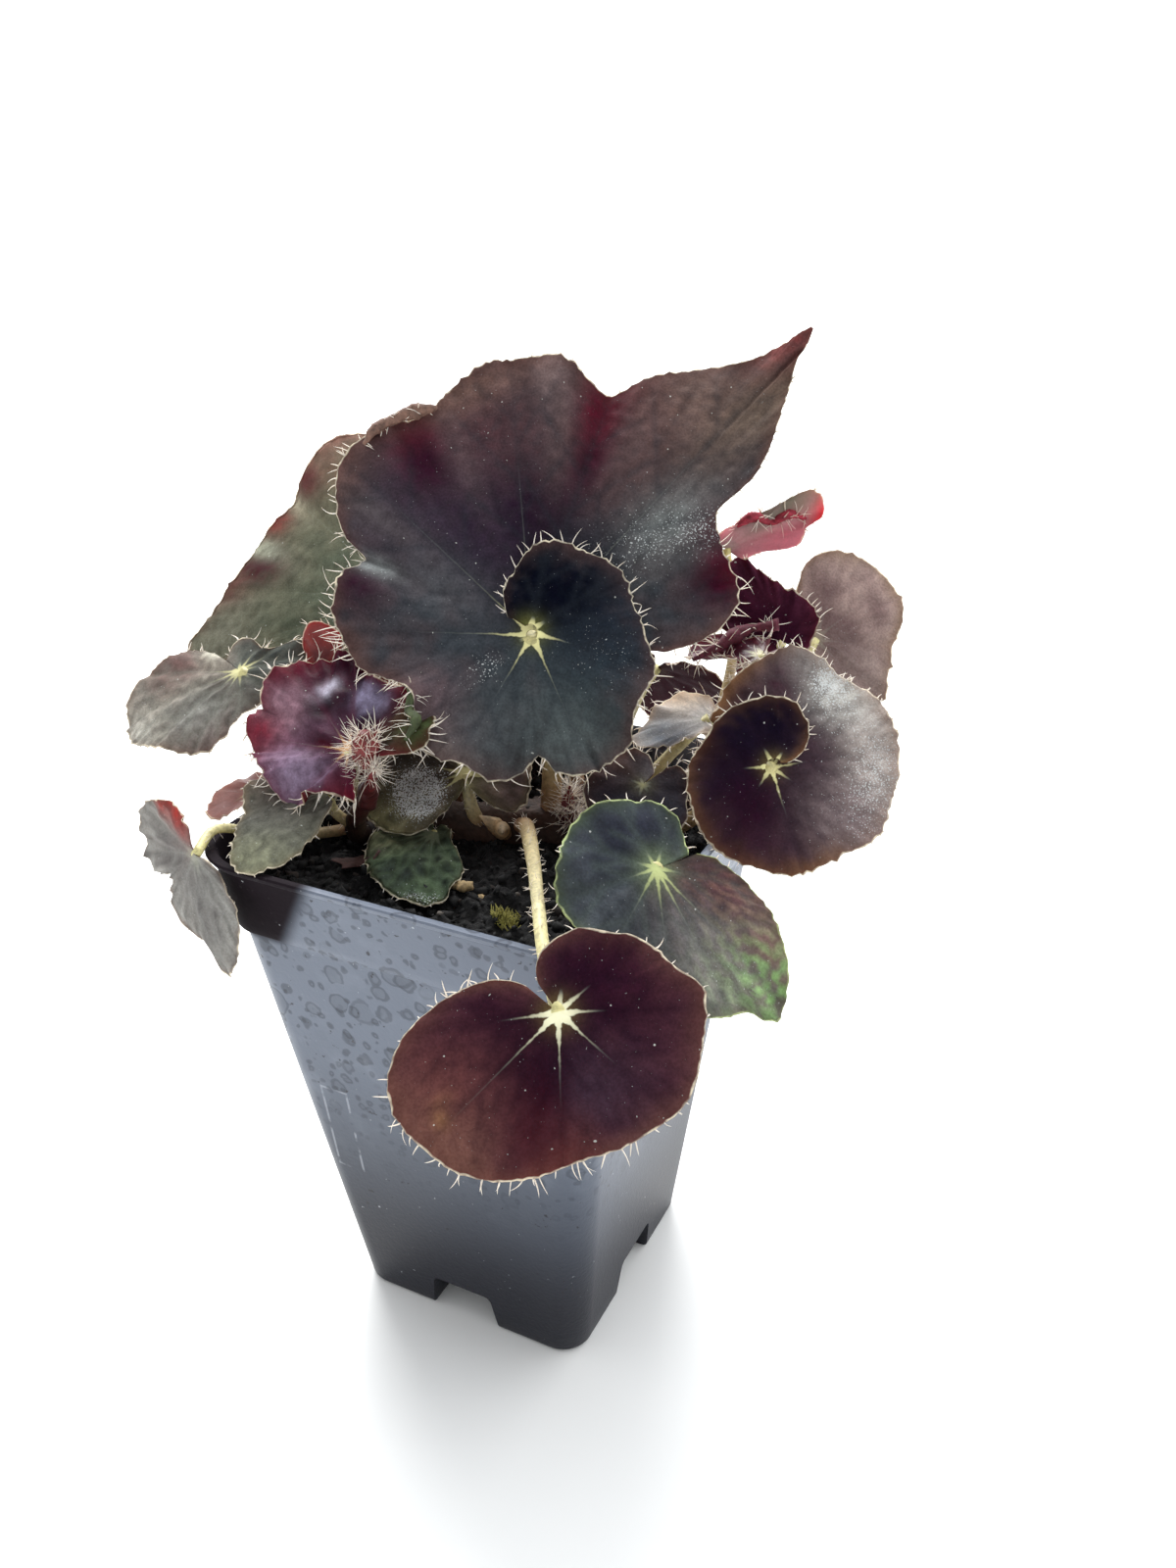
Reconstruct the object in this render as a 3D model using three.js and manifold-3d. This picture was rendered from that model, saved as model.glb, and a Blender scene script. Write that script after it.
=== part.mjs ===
// A rhizomatous begonia with near black patterned leaves, growing in a square nursery pot.
// Millimetres, +Z up. The pot's wide face looks towards -Y. Lengths are worked out about the
// pot's own axis, and the finished group is then centred over its lowest point.
import * as THREE from 'three';
import { mergeVertices } from 'three/addons/utils/BufferGeometryUtils.js';
import Module from 'manifold-3d';

const wasm = await Module();
wasm.setup();

// Pot: half widths are from the axis to the middle of a side
const POT_HEIGHT = 127;
const FOOT_HALF = 30.3;
const FOOT_CORNER = 7;
const FOOT_ROUND = 1.4;
const FOOT_FLOOR = 1.5;
const SHOULDER_Z = 108;
const SHOULDER_HALF = 43.6;
const SHOULDER_CORNER = 8;
const BAND_STEP = 1.1;
const RIM_HALF = 49.5;
const RIM_CORNER = 13.3;
const LIP_DEPTH = 1.6;
const LIP_OUT = 0.9;
const POT_WALL = 1.2;
const CHANNEL_LOW_HALF = 9.5;
const CHANNEL_TOP_HALF = 8;
const CHANNEL_HEIGHT = 10.5;
const CHANNEL_CORNER = 1.5;
const CHANNEL_LENGTH = 80;
const DRAIN_RADIUS = 3.2;
const DRAIN_OFFSET = 14;
const DRAIN_DEPTH = 8;

// Soil
const SOIL_Z = 115;
const SOIL_BUMP = 0.7;
const SOIL_RINGS = 6;
const LUMP_LENGTHS = [4.1, 5.3, 9];

// Clearance between pieces that touch
const GAP = 0.3;

// Leaf blade: its thickness, the width of a fold's crease, and the knuckle of a wound blade
const BLADE = 0.8;
const CREASE = 2;
const SPIRAL_BORE = 1.3;
const HUB_RADIUS = 2.2;
const HUB_ANGLE = 200;

// How finely the curved pieces are divided. Rings lie at these shares of the way to a blade's
// edge, and take every second or every point round it.
const MERGE_DISTANCE = 1e-3;
const CORNER_STEPS = 4;
const LEAST_CORNER = 1;
const RING_SHARES = [0.35, 0.7, 1];
const RING_STRIDES = [2, 2, 1];
const EDGE_SPLIT = 2;
const HUB_SIDES = 10;
const HUB_RINGS = 6;
const DRAIN_SIDES = 12;
const STALK_SIDES = 6;
const STALK_STEP = 8;
const LEAST_STALK_STEPS = 3;
const STEM_SIDES = 8;
const STEM_STEPS = 6;

const STALK_COLOUR = 0xcdbb8c;
const SHOOT_COLOUR = 0x9a5a50;
const RHIZOME_COLOUR = 0x6a4a38;
const SOIL_COLOUR = 0x2a221c;
const POT_COLOUR = 0x4a4f58;

const rad = (degrees) => (degrees * Math.PI) / 180;
const vec = (x, y, z) => new THREE.Vector3(x, y, z);

// Closed meshes and their joins

function solid(points, triangles) {
  const vertProperties = new Float32Array(points.flatMap((p) => [p.x, p.y, p.z]));
  const triVerts = new Uint32Array(triangles.flat());
  return new wasm.Manifold(new wasm.Mesh({ numProp: 3, vertProperties, triVerts }));
}

function solidOf(geometry) {
  geometry.deleteAttribute('normal');
  geometry.deleteAttribute('uv');
  const merged = mergeVertices(geometry, MERGE_DISTANCE);
  const vertProperties = merged.attributes.position.array;
  const triVerts = new Uint32Array(merged.index.array);
  return new wasm.Manifold(new wasm.Mesh({ numProp: 3, vertProperties, triVerts }));
}

function geometryOf(body) {
  const mesh = body.getMesh();
  const geometry = new THREE.BufferGeometry();
  geometry.setAttribute('position', new THREE.BufferAttribute(mesh.vertProperties, 3));
  geometry.setIndex(new THREE.BufferAttribute(mesh.triVerts, 1));
  geometry.computeVertexNormals();
  return geometry;
}

// The largest of the bodies that a cut leaves
function largest(body) {
  const bodies = body.decompose();
  return bodies.reduce((best, next) => (next.volume() > best.volume() ? next : best));
}

function cut(body, tools) {
  return largest(tools.reduce((rest, tool) => rest.subtract(tool), body));
}

function join(bodies) {
  return bodies.reduce((whole, next) => whole.add(next));
}

// Two rows of vertex numbers joined by triangles, the outer row as dense or twice as dense
function strip(inner, outer) {
  const double = outer.length > inner.length;
  const faces = [];
  for (let i = 0; i + 1 < inner.length; i++) {
    const a = inner[i];
    const b = inner[i + 1];
    if (double) {
      const [c, d, e] = outer.slice(2 * i, 2 * i + 3);
      faces.push([a, c, d], [a, d, b], [b, d, e]);
    } else {
      faces.push([a, outer[i], outer[i + 1]], [a, outer[i + 1], b]);
    }
  }
  return faces;
}

const flipped = (faces) => faces.map(([a, b, c]) => [a, c, b]);

// A cubic through [x, y] pairs that never overshoots them
function smooth(pairs, x) {
  const last = pairs.length - 1;
  const slope = (i) => (pairs[i + 1][1] - pairs[i][1]) / (pairs[i + 1][0] - pairs[i][0]);
  const tangent = (i) => {
    if (i === 0) return slope(0);
    if (i === last) return slope(last - 1);
    const [before, after] = [slope(i - 1), slope(i)];
    return before * after <= 0 ? 0 : (2 * before * after) / (before + after);
  };
  let i = 0;
  while (i < last - 1 && x > pairs[i + 1][0]) i++;
  const width = pairs[i + 1][0] - pairs[i][0];
  const t = (x - pairs[i][0]) / width;
  const [y0, y1] = [pairs[i][1], pairs[i + 1][1]];
  const [m0, m1] = [tangent(i) * width, tangent(i + 1) * width];
  const rise = y0 + t * m0 + t * t * (3 * (y1 - y0) - 2 * m0 - m1);
  return rise + t * t * t * (2 * (y0 - y1) + m0 + m1);
}

// Leaf blades

// The unit vectors of a leaf: across, up along the blade, and out of its upper face
function leafFrame([azimuth, elevation]) {
  const [a, e] = [rad(azimuth), rad(elevation)];
  const out = vec(Math.sin(a) * Math.cos(e), -Math.cos(a) * Math.cos(e), Math.sin(e));
  const across = vec(Math.cos(a), Math.sin(a), 0);
  return { across, up: vec(0, 0, 0).crossVectors(out, across), out };
}

// How far the blade stands off the leaf's own plane at a share of the way to its edge
function bladeHeight(leaf, angle, share, radius) {
  const [waves, size, start] = leaf.wave;
  const [bendAngle, bendRadius] = leaf.bend;
  const along = radius * Math.cos(rad(angle - bendAngle));
  const side = radius * Math.sin(rad(angle - leaf.fold[0]));
  const ruffle = size * share ** 3 * Math.sin(rad(waves * angle + start));
  const trough = leaf.fold[1] * (Math.hypot(side, CREASE) - CREASE);
  const lift = leaf.lift ? smooth(leaf.lift, angle) : 0;
  const cup = (leaf.cup * radius * radius) / 1000;
  return cup + ruffle + trough + lift - (along * along) / (2 * bendRadius);
}

// A sheet in polar form about the stalk's joint: each edge pair is an angle in degrees and the
// distance in millimetres from the joint to the edge. Both faces have the same triangles.
function bladeSolid(leaf, grow = 0) {
  const { across, up, out } = leafFrame(leaf.face);
  const joint = vec(...leaf.joint);
  const spiral = Boolean(leaf.lift);
  const angles = [];
  leaf.edge.slice(0, -1).forEach(([angle], i) => {
    const step = (leaf.edge[i + 1][0] - angle) / EDGE_SPLIT;
    for (let k = 0; k < EDGE_SPLIT; k++) angles.push(angle + k * step);
  });
  angles.push(leaf.edge[leaf.edge.length - 1][0]);
  const points = [];
  const place = (angle, share, side) => {
    const reach = smooth(leaf.edge, angle) + grow;
    const radius = spiral ? SPIRAL_BORE + share * (reach - SPIRAL_BORE) : share * reach;
    const height = bladeHeight(leaf, angle, share, radius) + side * (BLADE / 2 + grow);
    points.push(
      joint
        .clone()
        .addScaledVector(across, radius * Math.cos(rad(angle)))
        .addScaledVector(up, radius * Math.sin(rad(angle)))
        .addScaledVector(out, height),
    );
    return points.length - 1;
  };
  const ring = (share, stride, side) =>
    angles.filter((_, i) => i % stride === 0).map((angle) => place(angle, share, side));
  const sheet = (side) => {
    const rows = RING_SHARES.map((share, i) => ring(share, RING_STRIDES[i], side));
    const first = spiral ? ring(0, RING_STRIDES[0], side) : rows[0].map(() => -1);
    if (!spiral) first.fill(place(angles[0], 0, side));
    return [first, ...rows];
  };
  const [top, low] = [sheet(1), sheet(-1)];
  const between = (rows) => rows.slice(1).flatMap((row, i) => strip(rows[i], row));
  const start = (rows) => rows.map((row) => row[0]);
  const end = (rows) => rows.map((row) => row.at(-1));
  const faces = [
    ...between(top),
    ...flipped(between(low)),
    ...strip(top.at(-1), low.at(-1)),
    ...strip(start(top), start(low)),
    ...flipped(strip(end(top), end(low))),
  ];
  if (spiral) faces.push(...flipped(strip(top[0], low[0])));
  const real = ([a, b, c]) => a !== b && b !== c && c !== a;
  const body = solid(points, faces.filter(real));
  return spiral ? body.add(hub(joint, out, smooth(leaf.lift, HUB_ANGLE), grow)) : body;
}

// The knuckle that closes the bore of a leaf whose lobes wind past each other
function hub(joint, out, height, grow) {
  const ball = new THREE.SphereGeometry(HUB_RADIUS + grow, HUB_SIDES, HUB_RINGS);
  const centre = joint.clone().addScaledVector(out, height);
  return solidOf(ball.translate(centre.x, centre.y, centre.z));
}

// Stalks, stems and buds

// A tapered round bar along a smooth curve, closed at both ends
function bar(route, startRadius, endRadius, steps, sides) {
  const curve = new THREE.CatmullRomCurve3(route.map((p) => vec(...p)));
  const frames = curve.computeFrenetFrames(steps, false);
  const points = [];
  const rings = [];
  for (let i = 0; i <= steps; i++) {
    const centre = curve.getPointAt(i / steps);
    const radius = startRadius + ((endRadius - startRadius) * i) / steps;
    const ring = [];
    for (let k = 0; k < sides; k++) {
      const turn = (2 * Math.PI * k) / sides;
      ring.push(points.length);
      points.push(
        centre
          .clone()
          .addScaledVector(frames.normals[i], radius * Math.cos(turn))
          .addScaledVector(frames.binormals[i], radius * Math.sin(turn)),
      );
    }
    rings.push([...ring, ring[0]]);
  }
  const faces = rings.slice(1).flatMap((ring, i) => flipped(strip(rings[i], ring)));
  const [first, last] = [rings[0], rings[steps]];
  for (let k = 1; k + 1 < sides; k++) {
    faces.push([first[0], first[k + 1], first[k]], [last[0], last[k], last[k + 1]]);
  }
  return solid(points, faces);
}

// Pot and soil

// A loop round a square with rounded corners, counterclockwise from above
function squareLoop(half, corner, z) {
  const loop = [];
  for (let side = 0; side < 4; side++) {
    const cx = (half - corner) * Math.sign(Math.cos(rad(45 + 90 * side)));
    const cy = (half - corner) * Math.sign(Math.sin(rad(45 + 90 * side)));
    for (let k = 0; k <= CORNER_STEPS; k++) {
      const turn = rad(90 * side + (90 * k) / CORNER_STEPS);
      loop.push(vec(cx + corner * Math.cos(turn), cy + corner * Math.sin(turn), z));
    }
  }
  return loop;
}

// A skin over square loops, from a point on the axis below to a point on the axis above
function squareLoft(low, loops, high) {
  const points = [low, ...loops.flat(), high];
  const count = loops[0].length;
  const rows = loops.map((_, i) => {
    const row = Array.from({ length: count }, (_, k) => 1 + i * count + k);
    return [...row, row[0]];
  });
  const faces = rows.slice(1).flatMap((row, i) => flipped(strip(rows[i], row)));
  const top = points.length - 1;
  for (let k = 0; k < count; k++) {
    faces.push([0, rows[0][k + 1], rows[0][k]]);
    faces.push([top, rows.at(-1)[k], rows.at(-1)[k + 1]]);
  }
  return solid(points, faces);
}

// The half width and corner radius of the pot's tapering wall at a height
function wallAt(z) {
  const share = z / SHOULDER_Z;
  return {
    half: FOOT_HALF + (SHOULDER_HALF - FOOT_HALF) * share,
    corner: FOOT_CORNER + (SHOULDER_CORNER - FOOT_CORNER) * share,
  };
}

// The same for the flared band between the shoulder and the lip
function bandAt(z) {
  const share = (z - SHOULDER_Z) / (POT_HEIGHT - SHOULDER_Z);
  const low = SHOULDER_HALF + BAND_STEP;
  return {
    half: low + (RIM_HALF - LIP_OUT - low) * share,
    corner: SHOULDER_CORNER + (RIM_CORNER - SHOULDER_CORNER) * share,
  };
}

function loopInside({ half, corner }, z, inset) {
  return squareLoop(half - inset, Math.max(corner - inset, LEAST_CORNER), z);
}

function potSolid() {
  const stepZ = SHOULDER_Z + BAND_STEP;
  const lipZ = POT_HEIGHT - LIP_DEPTH;
  const outside = squareLoft(
    vec(0, 0, 0),
    [
      loopInside(wallAt(0), 0, FOOT_ROUND),
      loopInside(wallAt(FOOT_ROUND), FOOT_ROUND, 0),
      loopInside(wallAt(SHOULDER_Z), SHOULDER_Z, 0),
      loopInside(bandAt(stepZ), stepZ, 0),
      loopInside(bandAt(lipZ), lipZ, 0),
      loopInside(bandAt(lipZ), lipZ, -LIP_OUT),
      squareLoop(RIM_HALF, RIM_CORNER, POT_HEIGHT),
    ],
    vec(0, 0, POT_HEIGHT),
  );
  const hollow = squareLoft(
    vec(0, 0, FOOT_FLOOR),
    [
      loopInside(wallAt(FOOT_FLOOR), FOOT_FLOOR, POT_WALL),
      loopInside(wallAt(SHOULDER_Z), SHOULDER_Z - POT_WALL, POT_WALL),
      loopInside(bandAt(stepZ), stepZ, POT_WALL),
      loopInside(bandAt(POT_HEIGHT), POT_HEIGHT, POT_WALL),
      loopInside(bandAt(POT_HEIGHT), POT_HEIGHT + POT_WALL, POT_WALL),
    ],
    vec(0, 0, POT_HEIGHT + POT_WALL),
  );
  const room = hollow.subtract(channel(POT_WALL));
  return cut(outside, [room, channel(0), ...drainHoles()]);
}

// The raised channel that crosses under the floor both ways. It leaves a hollow foot at each
// corner, and grown by the wall's thickness it is the step in the floor above.
function channel(grow) {
  const [low, high] = [CHANNEL_LOW_HALF + grow, CHANNEL_TOP_HALF + grow];
  const top = CHANNEL_HEIGHT + grow;
  const shape = new THREE.Shape();
  shape.moveTo(-low, -POT_WALL);
  shape.lineTo(low, -POT_WALL);
  shape.lineTo(high, top - CHANNEL_CORNER);
  shape.lineTo(high - CHANNEL_CORNER, top);
  shape.lineTo(CHANNEL_CORNER - high, top);
  shape.lineTo(-high, top - CHANNEL_CORNER);
  const arm = new THREE.ExtrudeGeometry(shape, { depth: CHANNEL_LENGTH, bevelEnabled: false });
  arm.translate(0, 0, -CHANNEL_LENGTH / 2);
  const across = solidOf(arm.rotateX(Math.PI / 2));
  return across.add(across.rotate([0, 0, 90]));
}

// A round hole in each arm of the channel's top
function drainHoles() {
  return [0, 90, 180, 270].map((turn) => {
    const hole = new THREE.CylinderGeometry(DRAIN_RADIUS, DRAIN_RADIUS, DRAIN_DEPTH, DRAIN_SIDES);
    hole.rotateX(Math.PI / 2);
    hole.translate(DRAIN_OFFSET, 0, CHANNEL_HEIGHT);
    return solidOf(hole.rotateZ(rad(turn)));
  });
}

// Potting mix with a slightly lumpy top
function soilSolid() {
  const [along, across, slant] = LUMP_LENGTHS;
  const lump = (x, y) =>
    SOIL_BUMP * (Math.sin(x / along + 1) * Math.cos(y / across) + Math.sin((x + 2 * y) / slant));
  const floor = FOOT_FLOOR + GAP;
  const inset = POT_WALL + GAP;
  const edge = bandAt(SOIL_Z);
  const loops = [
    loopInside(wallAt(floor), floor, inset),
    loopInside(wallAt(SHOULDER_Z), SHOULDER_Z - POT_WALL, inset + GAP),
    loopInside(bandAt(SHOULDER_Z + BAND_STEP), SHOULDER_Z + BAND_STEP + GAP, inset + GAP),
  ];
  for (let i = 0; i < SOIL_RINGS; i++) {
    const share = 1 - i / SOIL_RINGS;
    const half = (edge.half - inset) * share;
    const loop = squareLoop(half, (edge.corner - inset) * share, SOIL_Z);
    loops.push(loop.map((p) => vec(p.x, p.y, SOIL_Z + lump(p.x, p.y))));
  }
  const body = squareLoft(vec(0, 0, floor), loops, vec(0, 0, SOIL_Z + lump(0, 0)));
  return body.subtract(channel(POT_WALL + GAP));
}

// The plant: leaves as the photograph shows them, and three more behind

// Each leaf: face is the compass and height angle its upper side looks to, joint is where the
// stalk meets it, edge is its outline about the joint, cup and fold shape it across, wave is
// the count, size and start of its ruffles, bend the way and radius it arches over, and lift
// the climb of a blade whose lobes wind past each other.
const LEAVES = [
  {
    name: 'top',
    joint: [5.8, 4.5, 165.3],
    face: [24, 38],
    edge: [
      [-6, 28], [3, 40], [14, 44], [28, 45], [36, 48], [38, 60], [45, 76], [50, 93], [54, 83],
      [60, 74], [68, 67], [77, 60], [86, 65], [97, 66], [108, 62], [117, 57], [124, 60], [135, 60],
      [144, 54], [150, 49], [154, 41], [163, 43], [172, 43], [182, 40], [191, 37], [197, 32],
      [207, 28], [217, 30], [228, 33], [244, 31], [256, 32], [268, 29], [274, 26], [282, 30],
      [291, 32], [310, 31], [325, 27], [341, 27], [358, 24], [376, 22], [392, 23], [412, 21],
      [430, 21], [450, 18], [470, 13], [490, 9], [507, 6],
    ],
    cup: -0.5,
    wave: [9, 1.6, 40],
    lift: [[-6, -1.8], [60, -0.4], [200, 0], [290, 0.4], [345, 1.6], [400, 3], [507, 4]],
    stalk: [[5.5, 10, 118], [6, 11, 133], [6, 9, 150], [5.8, 4.5, 165]],
    thick: [2.5, 2],
    colour: 0x4a3f42,
  },
  {
    name: 'back_left',
    joint: [-33, 15.5, 164.5],
    face: [-12, 42],
    edge: [
      [-15, 16], [18, 24], [50, 28], [77, 34], [100, 42], [117, 53], [134, 58], [148, 63],
      [162, 59], [172, 61], [186, 61], [195, 65], [202, 73], [209, 52], [222, 34], [240, 26],
      [272, 21], [305, 18], [330, 15],
    ],
    cup: -1,
    wave: [8, 1.4, 0],
    stalk: [[-14, 6, 118], [-21, 13, 135], [-29, 17, 152], [-33, 15.5, 164]],
    thick: [2.1, 1.5],
    colour: 0x585c4c,
  },
  {
    name: 'left',
    joint: [-63.5, -8, 150.3],
    face: [-10, 58],
    edge: [
      [-191, 14], [-186, 22], [-174, 27], [-163, 32], [-150, 34], [-138, 33], [-118, 27],
      [-90, 22], [-70, 19], [-53, 15], [-28, 12], [9, 11], [24, 13], [39, 15], [55, 16],
      [63, 13], [70, 8], [90, 8], [113, 10], [133, 11], [157, 8],
    ],
    cup: -4,
    wave: [6, 1.2, 20],
    stalk: [[-37, -4, 117.5], [-43, -4, 130], [-53, -4, 144], [-63, -7.5, 150]],
    thick: [1.9, 1.4],
    colour: 0x70756e,
  },
  {
    name: 'glossy_young',
    joint: [-24.5, -21.5, 144],
    face: [-5, 50],
    edge: [
      [18, 10], [43, 13], [66, 15], [86, 16], [103, 18], [120, 25], [135, 28],
      [148, 30], [158, 30], [165, 28], [178, 30], [190, 27], [205, 21], [225, 19], [245, 16],
      [262, 11], [283, 10], [304, 12], [318, 10],
    ],
    cup: 0,
    wave: [7, 1.3, 60],
    stalk: [[-22.5, -20, 132], [-23.8, -20.5, 138.5], [-24.5, -21, 143.5]],
    thick: [1.3, 1.2],
    colour: 0x50324b,
  },
  {
    name: 'tiny_red',
    joint: [-46, -0.7, 152.8],
    face: [15, 15],
    edge: [
      [-30, 3], [24, 5.5], [55, 8], [85, 9], [100, 9.5], [120, 8], [140, 5.8], [165, 3.6],
      [200, 3], [240, 3],
    ],
    cup: 4,
    wave: [4, 0.5, 0],
    stalk: [[-33, 0, 118], [-39.5, 4.5, 127], [-46.5, 3, 142], [-46.6, 0, 152.2]],
    thick: [1.2, 0.8],
    colour: 0x963c32,
  },
  {
    name: 'hanging_left',
    joint: [-44.5, -49.4, 128.4],
    face: [-10, 12],
    edge: [
      [-225, 5], [-206, 15], [-189, 22], [-176, 26], [-162, 26], [-150, 21], [-143, 14],
      [-134, 12], [-125, 17], [-113, 20], [-93, 21], [-80, 25], [-72, 27], [-65, 25],
      [-53, 21], [-40, 15], [-31, 9], [-22, 4.5], [-12, 2.2],
    ],
    cup: -3,
    wave: [5, 0.9, 0],
    fold: [-75, -0.15],
    stalk: [
      [-33, -6, 116.5], [-39, -20, 120], [-44.5, -33, 126], [-46.5, -41, 129.6],
      [-44.9, -48.7, 128.8],
    ],
    thick: [1.4, 1],
    colour: 0x82827e,
  },
  {
    name: 'rim_left',
    joint: [-30, -23.5, 133.7],
    face: [0, 80],
    edge: [
      [-20, 3], [20, 3], [60, 3], [113, 6], [141, 12], [155, 16], [170, 19], [193, 19],
      [215, 18], [232, 20], [248, 23], [260, 27], [270, 28], [276, 25], [284, 20], [292, 15],
      [303, 9], [320, 6],
    ],
    cup: -1,
    wave: [6, 0.9, 0],
    stalk: [[-28, -16.5, 122], [-31, -20, 127], [-30.2, -23, 133.2]],
    thick: [1.3, 1.1],
    colour: 0x5f6450,
  },
  {
    name: 'tuck_left',
    joint: [-50, -23, 130],
    face: [-10, 72],
    edge: [
      [-60, 3], [0, 3], [60, 4], [110, 5], [147, 7], [183, 8], [215, 10], [240, 12], [252, 11],
      [268, 8], [290, 5],
    ],
    cup: -3,
    wave: [4, 0.6, 0],
    stalk: [[-38, -6.5, 117.2], [-42.5, -13, 124], [-46, -20, 129.3], [-49.5, -22.8, 129.9]],
    thick: [1.1, 0.8],
    colour: 0x8a5a58,
  },
  {
    name: 'kidney',
    joint: [-11, 2, 131],
    face: [10, 55],
    edge: [
      [-62, 4], [-48, 8], [-38, 12], [-28, 15], [-15, 16], [10, 15], [40, 15], [70, 15],
      [104, 14], [135, 15], [152, 17], [160, 21], [178, 24], [197, 25], [214, 24], [230, 22],
      [243, 19], [252, 15], [262, 7], [275, 3],
    ],
    cup: -2,
    wave: [6, 0.8, 90],
    stalk: [[-8, 2, 118], [-9.5, 1, 123], [-10.5, 1.5, 127.5], [-11, 2.2, 130.7]],
    thick: [1.8, 1.4],
    colour: 0x646441,
  },
  {
    name: 'soil_green',
    joint: [-14.5, -7.5, 119.6],
    face: [10, 85],
    edge: [
      [-250, 4], [-207, 8], [-185, 11], [-160, 14], [-139, 16], [-121, 18], [-105, 21],
      [-90, 24], [-80, 26], [-66, 26], [-57, 22], [-46, 17], [-36, 10], [-15, 5], [40, 4],
      [80, 4],
    ],
    cup: 0,
    wave: [6, 0.4, 0],
    stalk: [[-14, -1, 116], [-14.3, -5, 117.6], [-14.5, -7, 119.2]],
    thick: [1.1, 0.9],
    colour: 0x3c503c,
  },
  {
    name: 'front',
    joint: [48, -66, 129],
    face: [30, 40],
    edge: [
      [-222, 7], [-210, 12], [-196, 17], [-184, 22], [-172, 27], [-158, 31], [-145, 32],
      [-130, 31], [-113, 29], [-95, 26], [-75, 24], [-54, 25], [-34, 26], [-14, 25], [5, 25],
      [20, 21], [40, 19], [56, 16], [72, 15], [86, 13], [100, 11], [112, 9], [122, 6],
    ],
    cup: -3.5,
    wave: [8, 0.9, 0],
    stalk: [
      [0.5, 5.5, 118.5], [8, -5, 125], [22, -27, 131], [34.5, -47.5, 134.5], [40, -56, 132.5],
      [47.6, -65.5, 128.8],
    ],
    thick: [1.9, 1.2],
    colour: 0x4b2828,
  },
  {
    name: 'right_front',
    joint: [51, -33, 140],
    face: [45, 48],
    edge: [
      [20, 7], [36, 9], [54, 11], [80, 14], [104, 15], [130, 17], [159, 18], [185, 19],
      [211, 19], [232, 23], [250, 25], [266, 27], [280, 29], [290, 30], [298, 35], [305, 33],
      [314, 29], [326, 24], [340, 19], [352, 14], [364, 9],
    ],
    cup: -3,
    wave: [7, 1.1, 30],
    stalk: [[24, 9, 118], [35, -6, 123], [44, -20, 131], [50.7, -32.5, 139.6]],
    thick: [1.9, 1.3],
    colour: 0x465850,
  },
  {
    name: 'right_spiral',
    joint: [56, 14, 140.7],
    face: [35, 42],
    edge: [
      [-4, 3], [25, 8], [49, 13], [80, 15], [115, 15], [148, 15], [171, 17], [198, 19],
      [228, 21], [257, 22], [282, 23], [300, 23], [318, 26], [340, 27], [366, 29], [387, 30],
      [405, 28], [423, 30], [442, 26], [466, 21], [482, 17], [493, 16],
    ],
    cup: -2.5,
    wave: [6, 0.8, 0],
    lift: [[-4, 3.4], [60, 2.6], [150, 1], [200, 0], [300, -0.2], [400, -1], [493, -2.2]],
    stalk: [[31, 14, 118.5], [42, 16, 127], [51, 17, 134], [55.8, 14.5, 140.3]],
    thick: [2, 1.4],
    colour: 0x32161f,
  },
  {
    name: 'right_back',
    joint: [50.6, 57, 153.3],
    face: [35, 38],
    edge: [
      [-100, 6], [-84, 9], [-72, 13], [-59, 18], [-46, 21], [-30, 19], [-8, 19], [8, 22],
      [25, 24], [42, 25], [60, 24], [77, 22], [88, 19], [98, 14], [115, 10], [138, 6],
      [180, 5], [225, 5],
    ],
    cup: -3,
    wave: [6, 1, 0],
    stalk: [[41.5, 41, 143.5], [46, 45.5, 145.5], [49.5, 52, 149], [50.6, 56.6, 152.8]],
    thick: [1.4, 1.1],
    colour: 0x786460,
  },
  {
    name: 'dark_maroon',
    joint: [46, 48, 155],
    face: [10, 30],
    edge: [
      [-20, 5], [14, 7], [33, 9], [66, 11], [90, 12], [104, 14], [115, 18], [126, 23],
      [140, 21], [156, 18], [173, 14], [187, 9], [200, 5], [250, 4], [290, 4],
    ],
    cup: 2,
    wave: [5, 0.8, 0],
    stalk: [[42, 42.5, 146.5], [43.5, 46.5, 151], [46, 48.8, 154.6]],
    thick: [1.2, 0.9],
    colour: 0x3c1928,
  },
  {
    name: 'rolled_young',
    joint: [27, 60, 171],
    face: [30, 20],
    edge: [
      [-40, 4], [-8, 8], [0, 16], [6, 18], [12, 19], [17, 24], [25, 25], [33, 23], [40, 14],
      [48, 10], [65, 6], [110, 4], [160, 3],
    ],
    cup: 2,
    wave: [5, 0.7, 0],
    fold: [18, 0.6],
    stalk: [[36, 31, 134], [34, 48, 150], [29, 58, 164], [27, 60.5, 170.6]],
    thick: [1.5, 1],
    colour: 0xaa5a6e,
  },
  {
    name: 'low_right',
    joint: [30.4, 6.2, 134.7],
    face: [30, 60],
    edge: [
      [48, 4], [62, 6], [80, 8], [100, 10], [130, 10], [160, 11], [184, 13], [205, 13],
      [230, 12], [254, 12], [285, 14], [310, 13], [335, 10], [355, 10], [372, 10], [389, 9],
      [398, 5],
    ],
    cup: -3,
    wave: [5, 0.7, 0],
    stalk: [[21, 11, 118], [26, 11, 126], [30, 7.5, 133], [30.4, 6.4, 134.4]],
    thick: [1.4, 1],
    colour: 0x6c6a66,
  },
  {
    name: 'silver',
    joint: [37, 27, 143],
    face: [20, 70],
    edge: [
      [-60, 3], [20, 3], [70, 4], [97, 7], [113, 10], [135, 11], [160, 12], [185, 14],
      [200, 18], [211, 17], [223, 13], [236, 9], [255, 5], [285, 4],
    ],
    cup: -3,
    wave: [5, 0.7, 0],
    stalk: [[17, 15, 118], [26, 20, 130], [34, 25.5, 140], [36.8, 27, 142.7]],
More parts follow.
